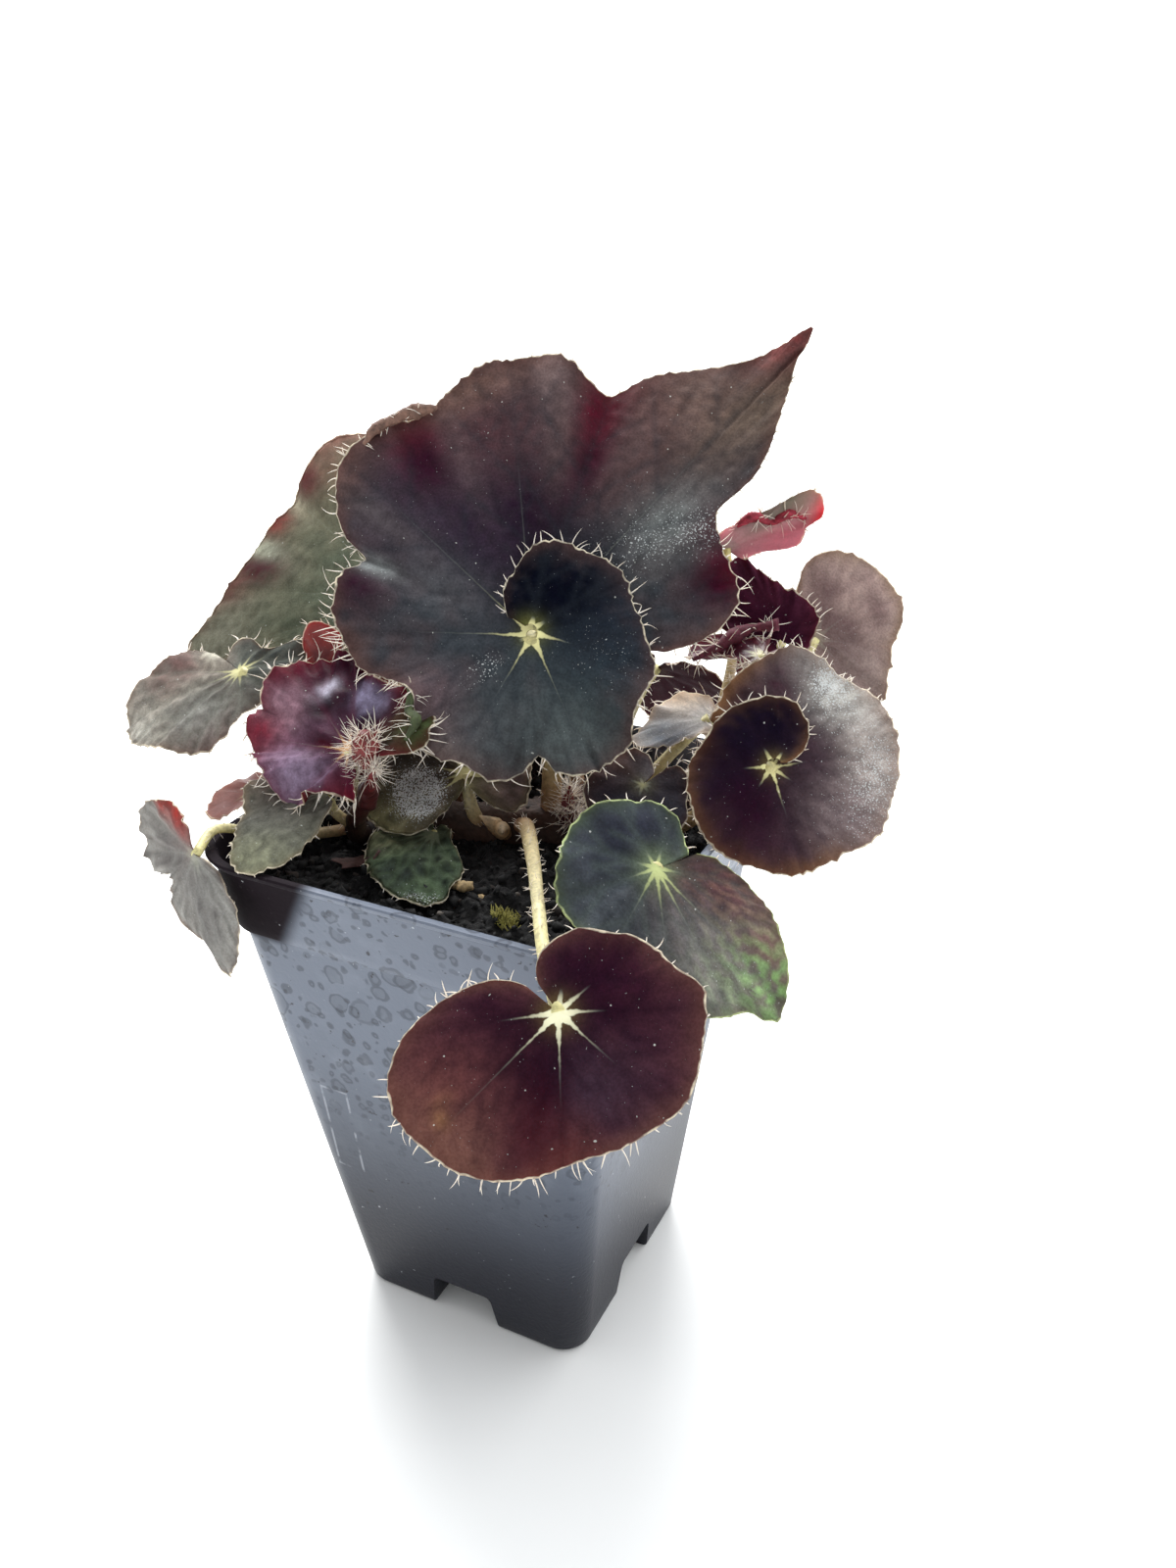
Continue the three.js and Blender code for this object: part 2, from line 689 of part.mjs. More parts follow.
    thick: [1.7, 1.3],
    colour: 0x8c8c88,
  },
  {
    name: 'ruffle',
    joint: [44, 39.5, 154.6],
    face: [-10, 66],
    edge: [
      [90, 4], [124, 5], [150, 7], [168, 10], [178, 16], [190, 18], [205, 18], [220, 19],
      [231, 18], [240, 10], [260, 5], [320, 4], [400, 4],
    ],
    cup: -3,
    wave: [9, 1, 0],
    stalk: [[40.3, 38.3, 141], [44, 37, 147], [44, 39, 154.3]],
    thick: [1.2, 0.9],
    colour: 0x6e5064,
  },
];

// The outline of a hidden leaf, which is guessed: a lopsided heart with a short tip
const PLAIN_EDGE = [
  [-165, 9], [-150, 17], [-120, 24], [-90, 27], [-60, 28], [-35, 30], [-22, 33], [-10, 29],
  [15, 26], [45, 24], [80, 22], [115, 20], [145, 15], [165, 8],
];

const turnedEdge = (turn, scale) => PLAIN_EDGE.map(([angle, r]) => [angle + turn, r * scale]);

const HIDDEN_LEAVES = [
  {
    name: 'rear_left',
    joint: [-18, 46, 142],
    face: [200, 42],
    edge: turnedEdge(-70, 0.95),
    cup: -3,
    wave: [7, 1, 0],
    stalk: [[6, 26, 118], [-4, 32, 130], [-14, 39, 138], [-17.8, 45.5, 141.6]],
    thick: [1.9, 1.3],
    colour: 0x4b3a3c,
  },
  {
    name: 'rear_middle',
    joint: [9, 61, 138],
    face: [172, 40],
    edge: turnedEdge(-60, 0.9),
    cup: -3,
    wave: [7, 1, 50],
    stalk: [[9, 31, 118], [9, 42, 129], [9, 54, 136], [9, 60.5, 137.6]],
    thick: [1.9, 1.3],
    colour: 0x3f3a3c,
  },
  {
    name: 'rear_far_left',
    joint: [-46, 34, 150],
    face: [240, 40],
    edge: turnedEdge(-80, 0.85),
    cup: -3,
    wave: [6, 1, 20],
    stalk: [[-5, 11.5, 118], [-20, 22, 133], [-36, 30, 144], [-45.5, 33.8, 149.6]],
    thick: [1.8, 1.2],
    colour: 0x585048,
  },
];

const PLAIN_SHAPE = { cup: -2, wave: [6, 1, 0], fold: [0, 0], bend: [-90, 1000] };
const PLANT = [...LEAVES, ...HIDDEN_LEAVES].map((leaf) => ({ ...PLAIN_SHAPE, ...leaf }));

function stalkSolid(leaf, grow = 0) {
  const [start, end] = leaf.thick;
  const length = new THREE.CatmullRomCurve3(leaf.stalk.map((p) => vec(...p))).getLength();
  const steps = Math.max(LEAST_STALK_STEPS, Math.round(length / STALK_STEP));
  return bar(leaf.stalk, start + grow, end + grow, steps, STALK_SIDES);
}

// Creeping stems that carry the stalks, and their short upright shoots with buds and bud
// scales. Each limb is a route and the radius at its two ends.
const RHIZOME = [
  [[[-41, -7, 116.5], [-16, 2, 117], [0, 8, 117.5], [16, 12, 117], [35, 14, 117.5]], [5, 5]],
  [[[0, 8, 117], [6, 20, 117], [10, 34, 117.5]], [5.4, 4.4]],
];
const SHOOTS = {
  shoot_right: [
    [[[31, 18, 117], [34, 26, 127], [38, 35, 138], [42, 42.5, 147]], [3.4, 2.7]],
    [[[41, 41.5, 145.5], [38.5, 43.3, 150], [37.5, 44.5, 154]], [1.8, 0.4]],
  ],
  shoot_left: [
    [[[-28, -2, 117], [-30.6, -12.6, 118.2], [-27.4, -18, 125], [-22, -20.5, 133]], [2.5, 2]],
    [[[-22, -20.5, 132.5], [-21, -21, 136], [-20.8, -21.5, 138]], [2, 1.9]],
    [[[-21, -21, 137], [-18.5, -23, 143], [-17, -21.5, 149]], [1.8, 0.4]],
    [[[-21, -21, 137], [-18, -24, 142.5], [-20, -25.8, 147.5]], [1.5, 0.4]],
    [[[-21, -21, 136], [-17.5, -25, 139], [-14.5, -26.5, 143]], [1.5, 0.4]],
  ],
  bud_front: [
    [[[11, 9, 118], [11.5, 7.5, 123], [12, 8, 129]], [2.2, 0.5]],
    [[[11, 9, 118], [13, 6, 121.5], [15, 5, 125]], [1.8, 0.5]],
  ],
  stipules: [
    [[[-3, 3.5, 117.5], [-4, 0.5, 120.5], [-6, -1.5, 122]], [2, 0.4]],
    [[[-3, 3.5, 117.5], [-1, -0.5, 120], [1, -3.5, 120.5]], [2, 0.4]],
  ],
};

function stemSolid(limbs, grow = 0) {
  const bars = limbs.map(([route, [start, end]]) =>
    bar(route, start + grow, end + grow, STEM_STEPS, STEM_SIDES),
  );
  return join(bars);
}

// The finished object

const group = new THREE.Group();

function addPiece(name, body, colour, roughness) {
  const material = new THREE.MeshStandardMaterial({ color: colour, roughness, metalness: 0 });
  const mesh = new THREE.Mesh(geometryOf(body), material);
  mesh.name = name;
  group.add(mesh);
}

const blades = PLANT.map((leaf) => bladeSolid(leaf));
const stalks = PLANT.map((leaf) => cut(stalkSolid(leaf), [bladeSolid(leaf, GAP)]));
const stalkSockets = PLANT.map((leaf) => stalkSolid(leaf, GAP));
const shoots = Object.values(SHOOTS).map((limbs) => cut(stemSolid(limbs), stalkSockets));
const shootSockets = Object.values(SHOOTS).map((limbs) => stemSolid(limbs, GAP));
const rhizome = cut(stemSolid(RHIZOME), [...stalkSockets, ...shootSockets]);
const soil = cut(soilSolid(), [...stalkSockets, ...shootSockets, stemSolid(RHIZOME, GAP)]);

addPiece('pot', potSolid(), POT_COLOUR, 0.45);
addPiece('soil', soil, SOIL_COLOUR, 0.95);
addPiece('rhizome', rhizome, RHIZOME_COLOUR, 0.8);
Object.keys(SHOOTS).forEach((name, i) => addPiece(name, shoots[i], SHOOT_COLOUR, 0.7));
PLANT.forEach((leaf, i) => {
  addPiece('leaf_' + leaf.name, blades[i], leaf.colour, 0.55);
  addPiece('stalk_' + leaf.name, stalks[i], STALK_COLOUR, 0.6);
});

// The origin is the middle of the object's own box, on the ground
const box = new THREE.Box3().setFromObject(group);
group.position.set(-(box.min.x + box.max.x) / 2, -(box.min.y + box.max.y) / 2, -box.min.z);

export default group;
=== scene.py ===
import math

import bpy
import numpy as np
from mathutils import Matrix, Vector


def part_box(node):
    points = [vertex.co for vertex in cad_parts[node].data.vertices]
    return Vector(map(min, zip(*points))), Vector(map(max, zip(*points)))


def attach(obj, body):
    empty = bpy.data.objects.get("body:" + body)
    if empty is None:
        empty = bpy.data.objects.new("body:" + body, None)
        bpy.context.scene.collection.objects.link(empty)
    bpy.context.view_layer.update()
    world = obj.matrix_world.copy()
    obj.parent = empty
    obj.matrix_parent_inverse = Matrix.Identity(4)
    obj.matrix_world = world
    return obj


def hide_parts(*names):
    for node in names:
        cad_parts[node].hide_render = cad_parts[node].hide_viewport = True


# The whole object
# A begonia with dark patterned leaves in a square plastic pot. Lengths are millimetres about the
# pot's own upright axis, with z up from the ground, and are turned to metres as meshes are made.
# Places that a material reads from the object itself, and the depths of bumps, are in metres.

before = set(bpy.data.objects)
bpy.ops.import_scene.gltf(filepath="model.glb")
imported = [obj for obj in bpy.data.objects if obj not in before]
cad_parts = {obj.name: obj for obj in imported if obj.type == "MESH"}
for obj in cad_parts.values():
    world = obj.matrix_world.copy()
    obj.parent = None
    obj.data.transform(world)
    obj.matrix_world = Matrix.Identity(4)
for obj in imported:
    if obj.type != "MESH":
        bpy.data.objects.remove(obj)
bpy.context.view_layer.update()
MM = 0.001
pot_box = np.array([list(corner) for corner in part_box("pot")])
POT_AXIS = pot_box.mean(axis=0) * [1, 1, 0]


def linear(colour):
    """Light values of a screen colour c of 0 to 255: (c / 255) to the power 2.2."""
    return (np.asarray(colour, float) / 255) ** 2.2


def add_piece(name, points, faces, material, slot, nodes=(), colours=None):
    """One closed mesh. Each array in faces has a row of corner numbers for each face, seen from
    outside against the clock. Colours holds arrays of four values a point by attribute name."""
    mesh = bpy.data.meshes.new(name)
    sides = np.concatenate([np.full(len(rows), rows.shape[1]) for rows in faces])
    mesh.vertices.add(len(points))
    mesh.vertices.foreach_set("co", (points * MM + POT_AXIS).astype(np.float32).ravel())
    mesh.loops.add(int(sides.sum()))
    mesh.loops.foreach_set("vertex_index", np.concatenate([rows.ravel() for rows in faces]))
    mesh.polygons.add(len(sides))
    mesh.polygons.foreach_set("loop_start", np.cumsum(sides) - sides)
    mesh.update(calc_edges=True)
    mesh.shade_smooth()
    for key, values in (colours or {}).items():
        layer = mesh.attributes.new(key, "FLOAT_COLOR", "POINT")
        layer.data.foreach_set("color", values.astype(np.float32).ravel())
    mesh.materials.append(material)
    piece = bpy.data.objects.new(name, mesh)
    bpy.context.scene.collection.objects.link(piece)
    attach(piece, "root")
    if nodes:
        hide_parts(*nodes)
    return piece


def add_node(tree, kind, inputs=None, **settings):
    """A shader node whose inputs are set to values or linked to the sockets given."""
    made = tree.nodes.new("ShaderNode" + kind)
    for key, value in settings.items():
        setattr(made, key, value)
    for key, value in (inputs or {}).items():
        if isinstance(value, bpy.types.NodeSocket):
            tree.links.new(value, made.inputs[key])
        elif isinstance(made.inputs[key].default_value, float):
            made.inputs[key].default_value = value
        else:
            values = [float(part) for part in value]
            short = len(made.inputs[key].default_value) - len(values)
            made.inputs[key].default_value = values + [1.0] * short
    return made


def new_material(name):
    """A material with only its output node, and the tree to fill."""
    material = bpy.data.materials.new(name)
    material.use_nodes = True
    material.node_tree.nodes.clear()
    return material, material.node_tree


def finish_material(tree, shader):
    """Links a shader to the material's output."""
    add_node(tree, "OutputMaterial", {"Surface": shader.outputs[0]})


def noise_of(tree, size_mm, detail=3, seed=(0, 0, 0)):
    """Noise whose lumps are about size_mm across, read at the object's own place."""
    place = add_node(tree, "TexCoord").outputs["Object"]
    moved = add_node(tree, "Mapping", {"Vector": place, "Location": seed}).outputs[0]
    inputs = {"Vector": moved, "Scale": 1 / (size_mm * MM), "Detail": float(detail)}
    return add_node(tree, "TexNoise", inputs).outputs["Fac"]


def ramp(tree, value, low, high):
    """0 below low, 1 above high, and a smooth climb between."""
    inputs = {"Value": value, "From Min": low, "From Max": high}
    return add_node(tree, "MapRange", inputs, interpolation_type="SMOOTHSTEP").outputs[0]


def mix(tree, share, first, second):
    """The colour share of the way from first to second."""
    made = add_node(tree, "Mix", {0: share, 6: first, 7: second}, data_type="RGBA")
    return made.outputs[2]


def maths(tree, operation, first, *second):
    """One step of sums on one or two values, such as their product or greatest."""
    made = add_node(tree, "Math", dict(enumerate((first, *second))), operation=operation)
    return made.outputs[0]


def times(tree, first, second):
    """The product of two values."""
    return maths(tree, "MULTIPLY", first, second)


def spread(tree, value, low, high, start=0, end=1):
    """A straight run from low to high while the value goes from start to end."""
    return add_node(tree, "MapRange", {0: value, 1: start, 2: end, 3: low, 4: high}).outputs[0]


def bumps(tree, height, strength, depth):
    """The directions of a surface that stands up to depth metres out where height is 1."""
    inputs = {"Strength": strength, "Distance": depth, "Height": height}
    return add_node(tree, "Bump", inputs).outputs[0]


# Camera
# The photo was taken from the front right, looking down on the plant by about 27 degrees. The
# directions and the lens are those in which the pot's straight edges fit the photo.

CAMERA_PLACE = np.array([137.389, -228.063, 264.222])
CAMERA_RIGHT = [0.89359, 0.44859, -0.01653]
CAMERA_UP = [-0.18790, 0.40723, 0.89379]
CAMERA_AHEAD = [-0.40767, 0.79557, -0.44819]
CAMERA_LENS = 31.18
CAMERA_SENSOR = 36

lens = bpy.data.cameras.new("camera")
lens.lens = CAMERA_LENS
lens.sensor_width = CAMERA_SENSOR
lens.clip_start = 0.01
camera = bpy.data.objects.new("camera", lens)
turn = Matrix([CAMERA_RIGHT, CAMERA_UP, [-part for part in CAMERA_AHEAD]]).transposed()
camera.matrix_world = Matrix.Translation(CAMERA_PLACE * MM + POT_AXIS) @ turn.to_4x4()
bpy.context.scene.collection.objects.link(camera)
bpy.context.scene.camera = camera

# Floor and light
# A pale table in a white room that is brighter behind the plant, with a broad soft sun from
# behind on the left. The pot's front is in the shade, and leaf margins glow, as in the photo.

FLOOR_HALF = 6000
FLOOR_COLOUR = linear((251, 252, 251))
ROOM_FRONT = 0.66
ROOM_BACK = 2.1
ROOM_TURN = (-0.7, 0.8)
ROOM_COLOUR = (0.97, 0.985, 1)
SUN_FROM = (-0.45, 0.62, 0.88)
SUN_SPREAD = 40
SUN_POWER = 4

material, tree = new_material("floor")
shader = add_node(tree, "BsdfPrincipled", {"Base Color": FLOOR_COLOUR, "Roughness": 0.9})
finish_material(tree, shader)
mesh = bpy.data.meshes.new("floor")
corners = [(-1, -1), (1, -1), (1, 1), (-1, 1)]
half = FLOOR_HALF * MM
mesh.from_pydata([(x * half, y * half, 0) for x, y in corners], [], [(0, 1, 2, 3)])
mesh.materials.append(material)
floor = bpy.data.objects.new("floor", mesh)
bpy.context.scene.collection.objects.link(floor)

world = bpy.data.worlds.new("room")
world.use_nodes = True
tree = world.node_tree
tree.nodes.clear()
heading = add_node(tree, "SeparateXYZ", {0: add_node(tree, "TexCoord").outputs["Generated"]})
behind = ramp(tree, heading.outputs["Y"], *ROOM_TURN)
strength = spread(tree, behind, ROOM_FRONT, ROOM_BACK)
background = add_node(tree, "Background", {"Color": ROOM_COLOUR, "Strength": strength})
add_node(tree, "OutputWorld", {"Surface": background.outputs[0]})
bpy.context.scene.world = world
bpy.context.scene.view_settings.view_transform = "Standard"

sun_data = bpy.data.lights.new("sun", "SUN")
sun_data.angle = math.radians(SUN_SPREAD)
sun_data.energy = SUN_POWER
sun = bpy.data.objects.new("sun", sun_data)
sun.rotation_euler = Vector(SUN_FROM).to_track_quat("Z", "Y").to_euler()
bpy.context.scene.collection.objects.link(sun)

# Pot
# A moulded square nursery pot of blue grey plastic that tapers to four corner feet, with a wider
# band under a small lip. It is dusty, scuffed, and marked by dried drops of water.

POT_HEIGHT = 127
FOOT_HALF, FOOT_CORNER = 30.3, 7
FOOT_ROUND, FOOT_FLOOR = 1.4, 1.5
SHOULDER_Z, SHOULDER_HALF, SHOULDER_CORNER = 108, 43.6, 8
BAND_STEP = 1.1
RIM_HALF, RIM_CORNER = 49.5, 13.3
LIP_DEPTH, LIP_OUT = 1.6, 0.9
POT_WALL = 1.2
CHANNEL_LOW_HALF, CHANNEL_TOP_HALF, CHANNEL_HEIGHT = 9.5, 8, 10.5
CHANNEL_ROUND, CHANNEL_LENGTH = 1.8, 80
DRAIN_RADIUS, DRAIN_OFFSET, DRAIN_DEPTH = 3.2, 14, 8
CORNER_STEPS = 14
SIDE_STEPS = 12
ROUND = 0.35
SHARP_ANGLE = 40
# The colour runs from POT_LOWER at the foot up to POT_UPPER as painted shade, and POT_SHADE is a painted
# shadow on the band by its left corner.
POT_UPPER, POT_LOWER = (101, 108, 121), (33, 34, 42)
POT_SHADE_FADE_Z = (0.012, 0.092)
POT_SHADE, SHADE_SLANT = (20, 6, 18), -0.6
SHADE_EDGE, SHADE_Z = (-0.0905, -0.096), (0.106, 0.109)
SPOT_COLOUR, SPOT_FILL, SPOT_LINE = (42, 46, 55), 0.2, 0.5
DROP_SIZES = ((11, 0.12, 0.4), (6, 0.1, 0.42), (3, 0.08, 0.35))
DROP_LINE, DROP_EDGE, DROP_SOME = (0.45, 0.15), (0.0, -0.05), (0.25, 0.4)
DROP_WOBBLE, WOBBLE_SCALE = 0.0024, 260.0
WET_Z = (0.03, 0.075)
DUST_COLOUR, DUST_SHARE = (142, 149, 160), 0.22
SCUFF_COLOUR, SCUFF_SHARE = (176, 180, 188), 0.4
SCUFF_MIDDLE, SCUFF_HALF = (-25.6, 54), (3.4, 12.5)
SCUFF_WIDTH, SCUFF_FRONT = (0.0004, 0.0002), (-0.034, -0.035)
SCUFF_WORN, DUST_RANGE = (0.42, 0.56), (0.5, 0.8)
SPECKS = (
    (1.4, 5, (3, 1, 0), (0.71, 0.75), 0.6, (196, 200, 204)),
    (1.9, 3, (1, 7, 0), (0.69, 0.73), 0.8, (38, 34, 36)),
)
POT_ROUGH, POT_SHINE = (0.9, 0.4), 0.2
POT_GRAIN, POT_BUMP = 0.9, (0.25, 0.0003)


def square_loop(half, corner, z):
    """Points round a square of half width half whose corners are arcs of radius corner. Each
    side is split evenly so that neighbouring loops match point for point."""
    points = []
    for side in range(4):
        start = math.radians(90 * side)
        middle = np.array([math.cos(start + math.pi / 4), math.sin(start + math.pi / 4)])
        centre = (half - corner) * np.sign(middle)
        turns = start + np.linspace(0, math.pi / 2, CORNER_STEPS + 1)
        arc = centre + corner * np.stack([np.cos(turns), np.sin(turns)], axis=1)
        after = np.array([-centre[1], centre[0]])
        last = after + corner * np.array([math.cos(turns[-1]), math.sin(turns[-1])])
        shares = np.arange(1, SIDE_STEPS)[:, None] / SIDE_STEPS
        points += [arc, arc[-1] + shares * (last - arc[-1])]
    points = np.concatenate(points)
    return np.column_stack([points, np.full(len(points), z)])


def loft(loops):
    """A closed skin over loops of equal count, the first seen from below as its floor and the
    last as its end: quads between neighbours, and a fan about the middle of each end."""
    count = len(loops[0])
    points = np.concatenate([*loops, [loops[0].mean(axis=0)], [loops[-1].mean(axis=0)]])
    number = np.arange(len(loops) * count).reshape(len(loops), count)
    after = np.roll(number, -1, axis=1)
    quads = np.stack([number[:-1], after[:-1], after[1:], number[1:]], axis=-1)
    low, high = len(points) - 2, len(points) - 1
    fans = [
        np.column_stack([np.full(count, low), after[0], number[0]]),
        np.column_stack([np.full(count, high), number[-1], after[-1]]),
    ]
    return points, [quads.reshape(-1, 4), np.concatenate(fans)]


def wall_at(z):
    """Half width and corner radius of the pot's tapering wall: straight lines from the foot."""
    share = z / SHOULDER_Z
    half = FOOT_HALF + (SHOULDER_HALF - FOOT_HALF) * share
    return half, FOOT_CORNER + (SHOULDER_CORNER - FOOT_CORNER) * share


def band_at(z):
    """The same for the flared band between the shoulder and the lip."""
    share = (z - SHOULDER_Z) / (POT_HEIGHT - SHOULDER_Z)
    low = SHOULDER_HALF + BAND_STEP
    half = low + (RIM_HALF - LIP_OUT - low) * share
    return half, SHOULDER_CORNER + (RIM_CORNER - SHOULDER_CORNER) * share


def inside(size, z, inset):
    """The loop that lies inset within a half width and corner radius."""
    return square_loop(size[0] - inset, max(size[1] - inset, 1), z)


def outside_loops():
    """The outside from the foot to the top, with every edge rounded."""
    step_z = SHOULDER_Z + BAND_STEP
    lip_z = POT_HEIGHT - LIP_DEPTH
    shoulder = wall_at(SHOULDER_Z)
    loops = []
    for turn in np.radians((0, 30, 60, 90)):
        rise = FOOT_ROUND * (1 - math.cos(turn))
        loops.append(inside(wall_at(rise), rise, FOOT_ROUND * (1 - math.sin(turn))))
    loops += [inside(wall_at(z), z, 0) for z in np.linspace(6, SHOULDER_Z - 2, 12)]
    loops += [
        inside(shoulder, SHOULDER_Z - ROUND, 0),
        inside(shoulder, SHOULDER_Z, -ROUND * 0.3),
        inside(band_at(step_z), step_z - ROUND, ROUND),
        inside(band_at(step_z), step_z + ROUND * 0.5, 0),
    ]
    loops += [inside(band_at(z), z, 0) for z in np.linspace(step_z + 2, lip_z - 1, 5)]
    loops += [
        inside(band_at(lip_z), lip_z - ROUND * 0.5, 0),
        inside(band_at(lip_z), lip_z, -LIP_OUT + ROUND),
        inside(band_at(lip_z), lip_z + ROUND, -LIP_OUT),
        square_loop(RIM_HALF, RIM_CORNER, POT_HEIGHT - ROUND),
        square_loop(RIM_HALF - ROUND, RIM_CORNER - ROUND, POT_HEIGHT),
    ]
    return loops


def hollow_loops():
    """The inside from the feet's floor to above the rim."""
    step_z = SHOULDER_Z + BAND_STEP
    loops = [
        inside(wall_at(FOOT_FLOOR), FOOT_FLOOR, POT_WALL),
        inside(wall_at(SHOULDER_Z), SHOULDER_Z - POT_WALL, POT_WALL),
    ]
    loops += [inside(band_at(z), z, POT_WALL) for z in (step_z, 114, 120, POT_HEIGHT - ROUND)]
    loops.append(inside(band_at(POT_HEIGHT), POT_HEIGHT, POT_WALL - ROUND))
    loops.append(inside(band_at(POT_HEIGHT), POT_HEIGHT + 1, POT_WALL - ROUND))
    return loops


def channel_bar(grow, turn):
    """One of the two raised channels that cross under the floor, as a bar to cut with. Its
    section is wider below and has round upper corners."""
    low, high, top = CHANNEL_LOW_HALF + grow, CHANNEL_TOP_HALF + grow, CHANNEL_HEIGHT + grow
    arc = np.radians(np.linspace(0, 90, 7))
    side = high - CHANNEL_ROUND + CHANNEL_ROUND * np.cos(arc)
    rise = top - CHANNEL_ROUND + CHANNEL_ROUND * np.sin(arc)
    section = [(low, -2), *zip(side, rise), *zip(-side[::-1], rise[::-1]), (-low, -2)]
    ends = (CHANNEL_LENGTH / 2, -CHANNEL_LENGTH / 2)
    loops = [np.array([(x, y, z) for x, z in section]) for y in ends]
    if turn:
        loops = [np.column_stack([-loop[:, 1], loop[:, 0], loop[:, 2]]) for loop in loops]
    return loft(loops)


def drain_bar(turn):
    """An upright round bar for one of the four drain holes in the channel's top."""
    turns = np.linspace(0, 2 * math.pi, 32, endpoint=False)
    x = DRAIN_OFFSET * math.cos(turn) + DRAIN_RADIUS * np.cos(turns)
    y = DRAIN_OFFSET * math.sin(turn) + DRAIN_RADIUS * np.sin(turns)
    heights = (CHANNEL_HEIGHT - DRAIN_DEPTH / 2, CHANNEL_HEIGHT + DRAIN_DEPTH / 2)
    return loft([np.column_stack([x, y, np.full(32, z)]) for z in heights])


def plain_object(points, faces):
    """A mesh object with no finish, used to cut another."""
    mesh = bpy.data.meshes.new("cutter")
    rows = [list(map(int, row)) for block in faces for row in block]
    mesh.from_pydata((points * MM + POT_AXIS).tolist(), [], rows)
    made = bpy.data.objects.new("cutter", mesh)
    bpy.context.scene.collection.objects.link(made)
    return made


def cut_away(piece, bars):
    """The piece less the bars, with the cuts made final and the bars removed."""
    for bar in bars:
        hole = piece.modifiers.new("hole", "BOOLEAN")
        hole.object = bar
        hole.solver = "EXACT"
    bpy.context.view_layer.update()
    whole = piece.evaluated_get(bpy.context.evaluated_depsgraph_get())
    mesh = bpy.data.meshes.new_from_object(whole)
    piece.modifiers.clear()
    piece.data = mesh
    for bar in bars:
        bpy.data.objects.remove(bar)
    return piece


def drops(tree, place, size_mm, low, high):
    """Masks of dried drops' outlines and insides: in each cell of about size_mm there is one
    drop, and its radius is drawn between low and high of the cell."""
    cells = {"Vector": place, "Scale": 1 / (size_mm * MM), "Randomness": 1.0}
    near = add_node(tree, "TexVoronoi", cells, feature="F1")
    pick = add_node(tree, "SeparateColor", {0: near.outputs["Color"]})
    radius = spread(tree, pick.outputs[0], low, high)
    off = maths(tree, "SUBTRACT", near.outputs["Distance"], radius)
    far = maths(tree, "ABSOLUTE", off)
    some = ramp(tree, pick.outputs[1], *DROP_SOME)
    line = times(tree, ramp(tree, far, *(width / size_mm for width in DROP_LINE)), some)
    disc = times(tree, ramp(tree, off, *DROP_EDGE), some)
    return line, disc


def scuff_outline(tree, parts):
    """A mask of the thin upright rectangle that a peeled label left on the front: places where
    the greater of the distances past its half width and half height is nearly nothing."""
    past = []
    for k, axis in enumerate("XZ"):
        middle = SCUFF_MIDDLE[k] * MM + POT_AXIS[0] * (k == 0)
        off = maths(tree, "ABSOLUTE", maths(tree, "SUBTRACT", parts.outputs[axis], middle))
        past.append(maths(tree, "SUBTRACT", off, SCUFF_HALF[k] * MM))
    far = maths(tree, "MAXIMUM", *past)
    line = ramp(tree, maths(tree, "ABSOLUTE", far), *SCUFF_WIDTH)
    front = ramp(tree, parts.outputs["Y"], *(POT_AXIS[1] + edge for edge in SCUFF_FRONT))
    worn = ramp(tree, noise_of(tree, 4, 4, (2, 2, 6)), *SCUFF_WORN)
    return times(tree, times(tree, line, front), worn)


def marked_with(tree, base, mask, share, colour):
    """The base colour with a mark of another colour, as strong as mask times share."""
    return mix(tree, times(tree, mask, share), base, linear(colour))


